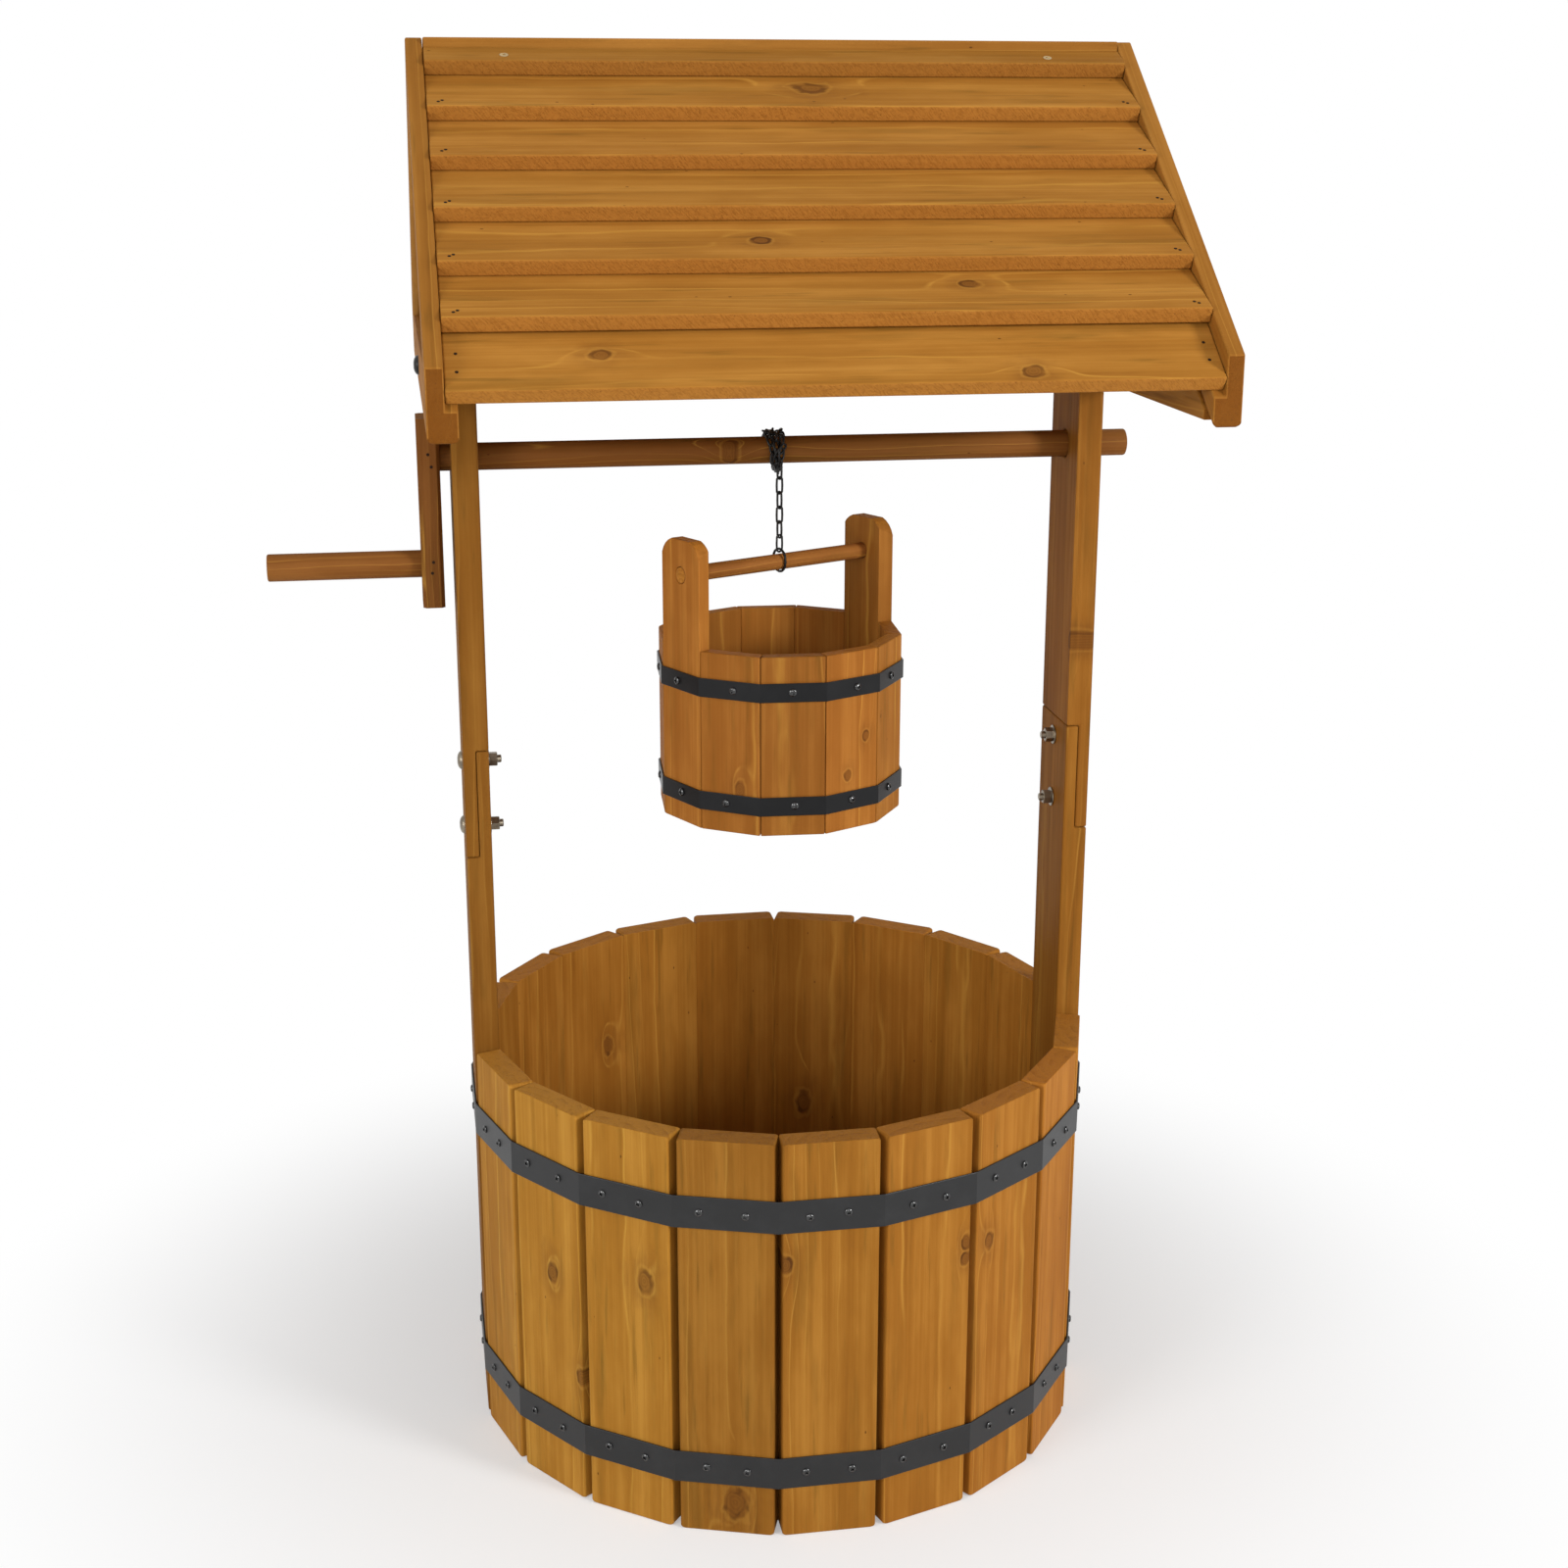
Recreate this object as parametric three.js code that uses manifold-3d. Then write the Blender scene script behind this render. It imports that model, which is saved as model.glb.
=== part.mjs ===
// Wishing well planter: a barrel of upright boards, two posts, a lapped gable roof,
// a windlass with a crank, and a small coopered bucket on a chain.
// Millimetres, +Z up. X runs along the axle, the front looks towards -Y.
// The origin is on the barrel's axis at the ground.
import * as THREE from "three";
import { mergeVertices } from "three/addons/utils/BufferGeometryUtils.js";
import Module from "manifold-3d";

const wasm = await Module();
wasm.setup();

// Shared fits
const joint_gap = 0.3;
const cut_overrun = 5;

// Barrel: twenty boards in a ring, two of them carried up as posts
const ring_count = 20;
const board_width = 70;
const board_thickness = 19;
const board_edge_chamfer = 0.8;
const barrel_height = 315;

// Steel bands round the barrel
const band_height = 25;
const band_thickness = 1.2;
const lower_band_bottom = 40.5;
const upper_band_drop = 43;

// Barrel floor with its drain holes
const floor_thickness = 19;
const drain_hole_diameter = 16;
const drain_hole_count = 5;
const drain_circle_share = 0.55;

// Half-lap that joins the lower and upper posts
const lap_bottom = 470;
const lap_length = 82.5;

// Roof
const ridge_height = 1057.2;
const roof_pitch = THREE.MathUtils.degToRad(36.6);
const roof_half_depth = 266.5;
const rafter_thickness = 19.6;
const rafter_depth = 40;
const rafter_leg_thickness = 11.6;
const rafter_leg_rise = 21.6;
const rafter_foot_radius = 7;
const tie_height = 35;
const tie_rise_over_feet = 6;
const tie_end_setback = 18;

// Lapped roof boards, measured down the slope from the ridge
const roof_board_thickness = 11;
const course_count = 5;
const course_lap = 12.3;
const eave_exposure = 51.2;
const eave_overhang = 2;
const top_course_start = 16.2;
const ridge_cap_exposure = 49;
const ridge_seam_offset = 7.4;

// Windlass
const axle_drop_below_tie = 49;
const axle_diameter = 20;
const axle_hole_clearance = 1;
const axle_stub_length = 28;
const arm_post_gap = 8;
const arm_thickness = 16;
const arm_width = 36;
const arm_end_margin = 30;
const arm_edge_chamfer = 2.5;
const crank_throw = 78;
const handle_diameter = 20;
const handle_length = 111;

// Chain: a winding on the axle, the hanging links and the loop round the bucket's handle
const wound_chain_diameter = 6.2;
const wound_chain_pitch = 7.2;
const wound_turns = 2;
const link_wire_diameter = 1.8;
const link_inner_width = 3.6;
const hanging_link_count = 5;
const loop_wire_diameter = 2.2;
const loop_play = 0.6;
const handle_drop_below_axle = 82;

// Bucket
const bucket_sides = 12;
const bucket_radius = 93;
const bucket_stave_thickness = 11;
const bucket_height = 134.6;
const bucket_tall_height = 213;
const bucket_yaw = THREE.MathUtils.degToRad(27);
const bucket_floor_thickness = 10;
const bucket_floor_rise = 8;
const bucket_handle_diameter = 12;
const handle_drop_in_stave = 26;
const stave_shoulder_width = 12.5;
const stave_shoulder_height = 12;
const stave_shoulder_bulge_share = 0.25;
const bucket_band_height = 14;
const bucket_band_thickness = 1.2;
const bucket_lower_band_bottom = 15.6;
const bucket_upper_band_drop = 19.3;

// Facets of round pieces, as counts
const round_sides = 32;
const small_round_sides = 16;
const wire_sides = 6;
const link_steps = 16;
const winding_steps_per_turn = 24;
const corner_steps = 4;

// Colours and surfaces
const finishes = {
  stained_fir: { color: 0xc77f33, roughness: 0.62, metalness: 0 },
  roof_fir: { color: 0xd08a3c, roughness: 0.6, metalness: 0 },
  shaded_fir: { color: 0x9a5f27, roughness: 0.68, metalness: 0 },
  dowel: { color: 0xb8742f, roughness: 0.6, metalness: 0 },
  black_steel: { color: 0x23221f, roughness: 0.45, metalness: 0.6 },
  chain_steel: { color: 0x1b1b1a, roughness: 0.4, metalness: 0.75 },
};

const part = new THREE.Group();

function material(finish) {
  return new THREE.MeshStandardMaterial(finishes[finish]);
}

function addPiece(group, name, geometry, finish) {
  const mesh = new THREE.Mesh(geometry, material(finish));
  mesh.name = name;
  group.add(mesh);
  return mesh;
}

// Turns a closed geometry into a solid that can be joined and cut
function toSolid(geometry) {
  const bare = geometry.clone();
  bare.deleteAttribute("normal");
  bare.deleteAttribute("uv");
  const merged = mergeVertices(bare);
  const mesh = new wasm.Mesh({
    numProp: 3,
    vertProperties: new Float32Array(merged.attributes.position.array),
    triVerts: new Uint32Array(merged.index.array),
  });
  return new wasm.Manifold(mesh);
}

function toGeometry(solid) {
  const mesh = solid.getMesh();
  const geometry = new THREE.BufferGeometry();
  const positions = new Float32Array(mesh.numVert * 3);
  for (let vertex = 0; vertex < mesh.numVert; vertex += 1) {
    for (let axis = 0; axis < 3; axis += 1) {
      positions[vertex * 3 + axis] = mesh.vertProperties[vertex * mesh.numProp + axis];
    }
  }
  geometry.setAttribute("position", new THREE.BufferAttribute(positions, 3));
  geometry.setIndex(new THREE.BufferAttribute(new Uint32Array(mesh.triVerts), 1));
  geometry.computeVertexNormals();
  return geometry;
}

function shapeOf(points) {
  return new THREE.Shape(points.map(([across, up]) => new THREE.Vector2(across, up)));
}

function extrude(shape, depth) {
  return new THREE.ExtrudeGeometry(shape, { depth, bevelEnabled: false, curveSegments: corner_steps });
}

// An outline in Y and Z, run along X from x_start to x_end
function prismAlongX(shape, x_start, x_end) {
  const geometry = extrude(shape, x_end - x_start);
  const turn = new THREE.Matrix4().makeBasis(
    new THREE.Vector3(0, 1, 0),
    new THREE.Vector3(0, 0, 1),
    new THREE.Vector3(1, 0, 0),
  );
  geometry.applyMatrix4(turn);
  geometry.translate(x_start, 0, 0);
  return geometry;
}

// An outline in X and Z, run along Y over a width centred on y = 0
function prismAlongY(shape, width) {
  const geometry = extrude(shape, width);
  const turn = new THREE.Matrix4().makeBasis(
    new THREE.Vector3(1, 0, 0),
    new THREE.Vector3(0, 0, 1),
    new THREE.Vector3(0, -1, 0),
  );
  geometry.applyMatrix4(turn);
  geometry.translate(0, width / 2, 0);
  return geometry;
}

function rodAlongX(diameter, x_start, x_end, sides) {
  const geometry = new THREE.CylinderGeometry(diameter / 2, diameter / 2, x_end - x_start, sides);
  geometry.rotateZ(Math.PI / 2);
  geometry.translate((x_start + x_end) / 2, 0, 0);
  return geometry;
}

// A rectangle with its four corners taken off
function chamferedRectangle(depth, width, chamfer) {
  const x = depth / 2;
  const y = width / 2;
  return shapeOf([
    [x, chamfer - y],
    [x, y - chamfer],
    [x - chamfer, y],
    [chamfer - x, y],
    [-x, y - chamfer],
    [-x, chamfer - y],
    [chamfer - x, -y],
    [x - chamfer, -y],
  ]);
}

// A rectangle with its two outer arrises taken off
function easedBoard(depth, width, chamfer) {
  const x = depth / 2;
  const y = width / 2;
  return shapeOf([
    [x, chamfer - y],
    [x, y - chamfer],
    [x - chamfer, y],
    [-x, y],
    [-x, -y],
    [x - chamfer, -y],
  ]);
}

// A regular outline with flats at the given apothem, the first flat facing +X
function regularOutline(sides, apothem) {
  const radius = apothem / Math.cos(Math.PI / sides);
  const points = [];
  for (let corner = 0; corner < sides; corner += 1) {
    const angle = ((corner + 1 / 2) * 2 * Math.PI) / sides;
    points.push([radius * Math.cos(angle), radius * Math.sin(angle)]);
  }
  return points;
}

function polygonRing(sides, inner_apothem, wall, height) {
  const shape = shapeOf(regularOutline(sides, inner_apothem + wall));
  shape.holes.push(shapeOf(regularOutline(sides, inner_apothem)));
  return extrude(shape, height);
}

// Places that follow from the driving dimensions
const ring_inner_apothem = (board_width / 2 + joint_gap / 2) / Math.tan(Math.PI / ring_count);
const ring_middle_apothem = ring_inner_apothem + board_thickness / 2;
const ring_outer_apothem = ring_inner_apothem + board_thickness;
const rafter_inner_x = ring_outer_apothem + joint_gap;
const rafter_outer_x = rafter_inner_x + rafter_thickness;
const rafter_leg_x = rafter_outer_x - rafter_leg_thickness;
const pitch_rise = Math.tan(roof_pitch);
const rafter_plumb_depth = rafter_depth / Math.cos(roof_pitch);
const tie_bottom = rafterUnderside(roof_half_depth) + tie_rise_over_feet;
const axle_height = tie_bottom - axle_drop_below_tie;
const bucket_handle_height = bucket_tall_height - handle_drop_in_stave;
const bucket_bottom = axle_height - handle_drop_below_axle - bucket_handle_height;
const bucket_upper_band_bottom = bucket_height - bucket_upper_band_drop - bucket_band_height;

// The eave board's outer corner stands a little past the rafters' ends, and the courses share the slope above it
const eave_board_lift = roof_board_thickness + joint_gap - rafter_leg_rise;
const eave_board_reach = (roof_half_depth + eave_overhang) / Math.cos(roof_pitch);
const eave_board_edge = eave_board_reach - eave_board_lift * pitch_rise;
const lowest_course_edge = eave_board_edge - eave_exposure;
const course_pitch = (lowest_course_edge - top_course_start - course_lap) / course_count;
const top_course_edge = lowest_course_edge - (course_count - 1) * course_pitch;
const roof_board_width = course_pitch + course_lap;

// Barrel boards
const barrel = new THREE.Group();
part.add(barrel);
const board_section = easedBoard(board_thickness, board_width, board_edge_chamfer);
const post_places = [0, ring_count / 2];
for (let place = 0; place < ring_count; place += 1) {
  if (post_places.includes(place)) continue;
  const azimuth = (place * 2 * Math.PI) / ring_count;
  const name = `barrel_board_${String(place).padStart(2, "0")}`;
  const board = addPiece(barrel, name, extrude(board_section, barrel_height), "stained_fir");
  board.position.set(ring_middle_apothem * Math.cos(azimuth), ring_middle_apothem * Math.sin(azimuth), 0);
  board.rotation.z = azimuth;
}

// Steel bands
const band_inner_apothem = ring_outer_apothem + joint_gap;
const upper_band_bottom = barrel_height - upper_band_drop - band_height;
for (const [name, bottom] of [["barrel_band_lower", lower_band_bottom], ["barrel_band_upper", upper_band_bottom]]) {
  const ring = polygonRing(ring_count, band_inner_apothem, band_thickness, band_height);
  addPiece(barrel, name, ring, "black_steel").position.z = bottom;
}

// Barrel floor, standing on the ground inside the boards
const floor_apothem = ring_inner_apothem - joint_gap;
const floor_shape = shapeOf(regularOutline(ring_count, floor_apothem));
for (let hole = 0; hole < drain_hole_count; hole += 1) {
  const angle = (hole * 2 * Math.PI) / drain_hole_count;
  const drain = new THREE.Path();
  const reach = floor_apothem * drain_circle_share;
  const radius = drain_hole_diameter / 2;
  drain.absarc(reach * Math.cos(angle), reach * Math.sin(angle), radius, 0, 2 * Math.PI, true);
  floor_shape.holes.push(drain);
}
addPiece(barrel, "barrel_floor", extrude(floor_shape, floor_thickness), "shaded_fir");

// Heights of the roof's planes over a distance from the ridge's middle plane
function rafterTop(y) {
  return ridge_height - pitch_rise * Math.abs(y);
}

function ledgeTop(y) {
  return rafterTop(y) - rafter_leg_rise / Math.cos(roof_pitch);
}

function rafterUnderside(y) {
  return rafterTop(y) - rafter_plumb_depth;
}

// Posts: the lower one is a ring board with a tongue on its inner side, the upper one laps over it
const lap_top = lap_bottom + lap_length;
const half_board = board_width / 2;
const post_seat_drop = joint_gap / Math.cos(roof_pitch);

function lowerPost() {
  const inner = ring_inner_apothem;
  const outer = ring_outer_apothem;
  const tongue = ring_middle_apothem - joint_gap / 2;
  const shape = shapeOf([
    [inner, 0],
    [outer, 0],
    [outer, lap_bottom],
    [tongue, lap_bottom],
    [tongue, lap_top],
    [inner, lap_top],
  ]);
  return prismAlongY(shape, board_width);
}

function upperPost() {
  const inner = ring_inner_apothem;
  const outer = ring_outer_apothem;
  const tongue = ring_middle_apothem + joint_gap / 2;
  const side = shapeOf([
    [tongue, lap_bottom + joint_gap],
    [outer, lap_bottom + joint_gap],
    [outer, ridge_height],
    [inner, ridge_height],
    [inner, lap_top + joint_gap],
    [tongue, lap_top + joint_gap],
  ]);
  const front = shapeOf([
    [-half_board, lap_bottom],
    [half_board, lap_bottom],
    [half_board, ledgeTop(half_board) - post_seat_drop],
    [0, ledgeTop(0) - post_seat_drop],
    [-half_board, ledgeTop(half_board) - post_seat_drop],
  ]);
  const hole_diameter = axle_diameter + axle_hole_clearance;
  const hole = rodAlongX(hole_diameter, inner - cut_overrun, outer + cut_overrun, round_sides);
  hole.translate(0, 0, axle_height);
  const blank = toSolid(prismAlongY(side, board_width + 2 * cut_overrun));
  const shaped = blank.intersect(toSolid(prismAlongX(front, inner - cut_overrun, outer + cut_overrun)));
  return toGeometry(shaped.subtract(toSolid(hole)));
}

for (const [side, turn] of [["right", 0], ["left", Math.PI]]) {
  const frame = new THREE.Group();
  frame.rotation.z = turn;
  part.add(frame);
  addPiece(frame, `post_lower_${side}`, lowerPost(), "stained_fir");
  addPiece(frame, `post_upper_${side}`, upperPost(), "stained_fir");
}

// Rafters: an outer leg and an inner ledge that carries the boards, cut plumb at both ends
const slopes = [["front", -1], ["rear", 1]];
const sides = [["left", -1], ["right", 1]];

function rafterOutline(toward, top) {
  const near = joint_gap / 2;
  const far = roof_half_depth;
  const shape = new THREE.Shape();
  shape.moveTo(toward * near, top(near));
  shape.lineTo(toward * far, top(far));
  shape.lineTo(toward * far, rafterUnderside(far) + rafter_foot_radius);
  const foot_end = far - rafter_foot_radius;
  shape.quadraticCurveTo(toward * far, rafterUnderside(far), toward * foot_end, rafterUnderside(foot_end));
  shape.lineTo(toward * near, rafterUnderside(near));
  shape.closePath();
  return shape;
}

function spanOnSide(outward, start, end) {
  return outward > 0 ? [start, end] : [-end, -start];
}

function rafter(outward, toward) {
  const leg = prismAlongX(rafterOutline(toward, rafterTop), ...spanOnSide(outward, rafter_leg_x, rafter_outer_x));
  const ledge_end = rafter_leg_x + rafter_leg_thickness / 2;
  const ledge = prismAlongX(rafterOutline(toward, ledgeTop), ...spanOnSide(outward, rafter_inner_x, ledge_end));
  return toGeometry(toSolid(leg).add(toSolid(ledge)));
}

// Gable tie between the two rafters' feet, its ends cut to the rafters' undersides
function gableTie(outward) {
  const top = tie_bottom + tie_height;
  const seat_drop = joint_gap / Math.cos(roof_pitch);
  const foot = roof_half_depth - tie_end_setback;
  const shoulder = (rafterUnderside(0) - seat_drop - top) / pitch_rise;
  const foot_top = rafterUnderside(foot) - seat_drop;
  const shape = shapeOf([
    [-foot, tie_bottom],
    [foot, tie_bottom],
    [foot, foot_top],
    [shoulder, top],
    [-shoulder, top],
    [-foot, foot_top],
  ]);
  return prismAlongX(shape, ...spanOnSide(outward, rafter_inner_x, rafter_outer_x));
}

const roof = new THREE.Group();
part.add(roof);
for (const [side, outward] of sides) {
  for (const [slope, toward] of slopes) {
    addPiece(roof, `rafter_${side}_${slope}`, rafter(outward, toward), "roof_fir");
  }
  addPiece(roof, `gable_tie_${side}`, gableTie(outward), "shaded_fir");
}

// Roof boards. A point is given down the slope from the ridge and up from the ledge.
const roof_board_reach = rafter_leg_x - joint_gap;
const board_tilt = Math.asin((roof_board_thickness + joint_gap) / course_pitch);

function slopePoint(toward, down, lift) {
  const rise = lift + joint_gap - rafter_leg_rise;
  const y = down * Math.cos(roof_pitch) + rise * Math.sin(roof_pitch);
  const z = ridge_height - down * Math.sin(roof_pitch) + rise * Math.cos(roof_pitch);
  return [toward * y, z];
}

// Outline of a board whose upper inner corner lies on the ledge at upper_edge
function boardOutline(toward, upper_edge, width, tilt) {
  const along = [Math.cos(tilt), Math.sin(tilt)];
  const up = [-Math.sin(tilt), Math.cos(tilt)];
  const corner = (run, lift) =>
    slopePoint(toward, upper_edge + run * along[0] + lift * up[0], run * along[1] + lift * up[1]);
  return [
    corner(0, 0),
    corner(width, 0),
    corner(width, roof_board_thickness),
    corner(0, roof_board_thickness),
  ];
}

// How far a tilted board's outer lower corner lies below its upper edge
const tilted_reach = roof_board_width * Math.cos(board_tilt) - roof_board_thickness * Math.sin(board_tilt);
const lowest_course_top = lowest_course_edge - tilted_reach;
const eave_step = (roof_board_thickness * Math.cos(board_tilt) + joint_gap) / Math.sin(board_tilt);
const eave_board_top = lowest_course_top + eave_step;
const eave_board_width = eave_board_edge - eave_board_top;

function addRoofBoard(name, outline) {
  const geometry = prismAlongX(shapeOf(outline), -roof_board_reach, roof_board_reach);
  addPiece(roof, name, geometry, "roof_fir");
}

// Ridge cap: the board of one slope ends at the seam, the other's runs past the ridge to it
const cap_slope = Math.tan(roof_pitch - board_tilt);
const cap_plumb = roof_board_thickness / Math.cos(roof_pitch - board_tilt);
const top_course_top = lowest_course_top - (course_count - 1) * course_pitch;
const cap_upper_edge = top_course_top - course_pitch;
const cap_lower_edge = top_course_edge - ridge_cap_exposure;
const cap_width = (cap_lower_edge - cap_upper_edge - tilted_reach) / Math.cos(board_tilt) + roof_board_width;

function capOutline(toward, seam) {
  const [, inner_low, outer_low] = boardOutline(toward, cap_upper_edge, cap_width, board_tilt);
  const seam_y = toward * seam;
  const inner_seam = inner_low[1] + cap_slope * (Math.abs(inner_low[0]) - seam);
  return [inner_low, outer_low, [seam_y, inner_seam + cap_plumb], [seam_y, inner_seam]];
}

for (const [slope, toward] of slopes) {
  addRoofBoard(`roof_eave_board_${slope}`, boardOutline(toward, eave_board_top, eave_board_width, 0));
  for (let course = 0; course < course_count; course += 1) {
    const upper_edge = lowest_course_top - course * course_pitch;
    const outline = boardOutline(toward, upper_edge, roof_board_width, board_tilt);
    addRoofBoard(`roof_board_${slope}_${course + 1}`, outline);
  }
}
addRoofBoard("ridge_cap_front", capOutline(-1, ridge_seam_offset + joint_gap));
addRoofBoard("ridge_cap_rear", capOutline(1, -ridge_seam_offset));

// Windlass: axle, crank arm and handle turn as one
const windlass = new THREE.Group();
windlass.position.z = axle_height;
part.add(windlass);
const arm_inner_x = ring_outer_apothem + arm_post_gap;
const arm_outer_x = arm_inner_x + arm_thickness;
const axle = rodAlongX(axle_diameter, -arm_outer_x, ring_outer_apothem + axle_stub_length, round_sides);
addPiece(windlass, "windlass_axle", axle, "dowel");

const handle = rodAlongX(handle_diameter, -arm_outer_x - handle_length, -arm_inner_x, round_sides);
addPiece(windlass, "crank_handle", handle, "dowel").position.z = -crank_throw;

function crankArm() {
  const height = crank_throw + 2 * arm_end_margin;
  const section = chamferedRectangle(arm_thickness, arm_width, arm_edge_chamfer);
  const blank = extrude(section, height);
  blank.translate(-(arm_inner_x + arm_outer_x) / 2, 0, -crank_throw - arm_end_margin);
  const start = -arm_outer_x - cut_overrun;
  const end = -arm_inner_x + cut_overrun;
  const axle_hole = rodAlongX(axle_diameter + 2 * joint_gap, start, end, round_sides);
  const handle_hole = rodAlongX(handle_diameter + 2 * joint_gap, start, end, round_sides);
  handle_hole.translate(0, 0, -crank_throw);
  return toGeometry(toSolid(blank).subtract(toSolid(axle_hole)).subtract(toSolid(handle_hole)));
}
addPiece(windlass, "crank_arm", crankArm(), "dowel");

// Winding of the chain on the axle: one unbroken run, with a straight end at each side
const winding_radius = axle_diameter / 2 + joint_gap + wound_chain_diameter / 2;
const winding_sweep = wound_turns * 2 * Math.PI;
const winding_run = winding_sweep * Math.hypot(winding_radius, wound_chain_pitch / (2 * Math.PI));
const winding_total = winding_run + 2 * wound_chain_diameter;

class ChainWinding extends THREE.Curve {
  getPoint(share, target = new THREE.Vector3()) {
    const run = share * winding_total - wound_chain_diameter;
    const held = Math.min(Math.max(run, 0), winding_run);
    const angle = (held / winding_run) * winding_sweep;
    const past = run - held;
    const x = -(angle / (2 * Math.PI)) * wound_chain_pitch;
    const y = -winding_radius * Math.cos(angle) + past * Math.sin(angle);
    const z = winding_radius * Math.sin(angle) + past * Math.cos(angle);
    return target.set(x, y, z);
  }
}

const winding = new ChainWinding();
const winding_steps = winding_steps_per_turn * wound_turns + 2 * corner_steps;
const winding_section = shapeOf(regularOutline(wire_sides, (wound_chain_diameter / 2) * Math.cos(Math.PI / wire_sides)));
const wound_chain = new THREE.ExtrudeGeometry(winding_section, {
  steps: winding_steps,
  bevelEnabled: false,
  extrudePath: winding,
});
addPiece(windlass, "chain_wound", wound_chain, "chain_steel");

// Least gap of the winding to itself, measured between points at least half a turn apart
function leastSelfGap(curve, samples, diameter, apart) {
  const points = curve.getSpacedPoints(samples);
  let least = Infinity;
  for (let first = 0; first < points.length; first += 1) {
    for (let second = first + apart; second < points.length; second += 1) {
      least = Math.min(least, points[first].distanceTo(points[second]));
    }
  }
  return least - diameter;
}
const half_turn_samples = winding_steps_per_turn / 2;
const self_gap = leastSelfGap(winding, winding_steps, wound_chain_diameter, half_turn_samples);
console.log(`least gap of the wound chain to itself: ${self_gap.toFixed(2)} mm`);

// A chain link: a ring drawn out into an oval, upright, its lower bend's centre at z = 0
function link(inner_width, wire, bend_spacing, turn) {
  const bend_radius = (inner_width + wire) / 2;
  const geometry = new THREE.TorusGeometry(bend_radius, wire / 2, wire_sides, link_steps);
  geometry.rotateZ(Math.PI / link_steps);
  const straight = bend_spacing - 2 * bend_radius;
  const position = geometry.attributes.position;
  for (let vertex = 0; vertex < position.count; vertex += 1) {
    const y = position.getY(vertex);
    position.setY(vertex, y + (Math.sign(y) * straight) / 2);
  }
  geometry.rotateX(Math.PI / 2);
  geometry.translate(0, 0, bend_spacing / 2);
  geometry.rotateZ(turn);
  return toGeometry(toSolid(geometry));
}

// Hanging chain and bucket share one upright line in front of the axle
const hanging_line = new THREE.Group();
hanging_line.position.y = -winding_radius;
hanging_line.rotation.z = bucket_yaw;
part.add(hanging_line);

const handle_z = bucket_bottom + bucket_handle_height;
const loop_inner_width = bucket_handle_diameter + 2 * loop_play;
const loop_low = handle_z - bucket_handle_diameter / 2 - joint_gap - loop_wire_diameter / 2;
const link_room = link_wire_diameter + 2 * joint_gap;
const loop_high = handle_z + bucket_handle_diameter / 2 + joint_gap + link_room + loop_wire_diameter / 2;
const quarter_turn = Math.PI / 2;
const loop = link(loop_inner_width, loop_wire_diameter, loop_high - loop_low, quarter_turn);
addPiece(hanging_line, "chain_loop", loop, "chain_steel").position.z = loop_low;

// The links between the loop and the winding's lower end share the height left for them
const end_link_low = loop_high - (loop_wire_diameter + link_wire_diameter) / 2 - joint_gap;
const hanging_high = axle_height - wound_chain_diameter - joint_gap - link_wire_diameter / 2;
const link_bite_share = 0.9;
const link_bite = link_wire_diameter * link_bite_share;
const open_bite = link_wire_diameter + joint_gap;
const bites = (hanging_link_count - 1) * link_bite + open_bite;
const bend_spacing = (hanging_high - end_link_low + bites) / (hanging_link_count + 1);
const end_link = link(link_inner_width, link_wire_diameter, bend_spacing, 0);
addPiece(hanging_line, "chain_end_link", end_link, "chain_steel").position.z = end_link_low;

const hanging_low = end_link_low + bend_spacing - open_bite;
let hanging_solid = null;
for (let place = 0; place < hanging_link_count; place += 1) {
  const turn = place % 2 === 0 ? quarter_turn : 0;
  const one = link(link_inner_width, link_wire_diameter, bend_spacing, turn);
  one.translate(0, 0, place * (bend_spacing - link_bite));
  hanging_solid = hanging_solid ? hanging_solid.add(toSolid(one)) : toSolid(one);
}
addPiece(hanging_line, "chain_hanging", toGeometry(hanging_solid), "chain_steel").position.z = hanging_low;

// Bucket: twelve staves, two of them tall, all with bevelled joints
const bucket = new THREE.Group();
bucket.position.z = bucket_bottom;
hanging_line.add(bucket);
const stave_sweep = (2 * Math.PI) / bucket_sides;
const bucket_outer_apothem = bucket_radius * Math.cos(stave_sweep / 2);
const bucket_inner_apothem = bucket_outer_apothem - bucket_stave_thickness;
const seam_angle = joint_gap / bucket_inner_apothem;

// A point on the flat face at face_azimuth, seen from the axis at azimuth
function facePoint(apothem, face_azimuth, azimuth) {
  const radius = apothem / Math.cos(azimuth - face_azimuth);
  return [radius * Math.cos(azimuth), radius * Math.sin(azimuth)];
}

// Outline of neighbouring staves from first to last, counted round from the handle's direction
function staveOutline(first, last, trim) {
  const start = (first - 1 / 2) * stave_sweep + trim;
  const end = (last + 1 / 2) * stave_sweep - trim;
  const outer = [facePoint(bucket_outer_apothem, first * stave_sweep, start)];
  const inner = [facePoint(bucket_inner_apothem, first * stave_sweep, start)];
  for (let stave = first; stave < last; stave += 1) {
    const corner = (stave + 1 / 2) * stave_sweep;
    outer.push(facePoint(bucket_outer_apothem, stave * stave_sweep, corner));
    inner.push(facePoint(bucket_inner_apothem, stave * stave_sweep, corner));
  }
  outer.push(facePoint(bucket_outer_apothem, last * stave_sweep, end));
  inner.push(facePoint(bucket_inner_apothem, last * stave_sweep, end));
  return [...outer, ...inner.reverse()];
}

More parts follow.
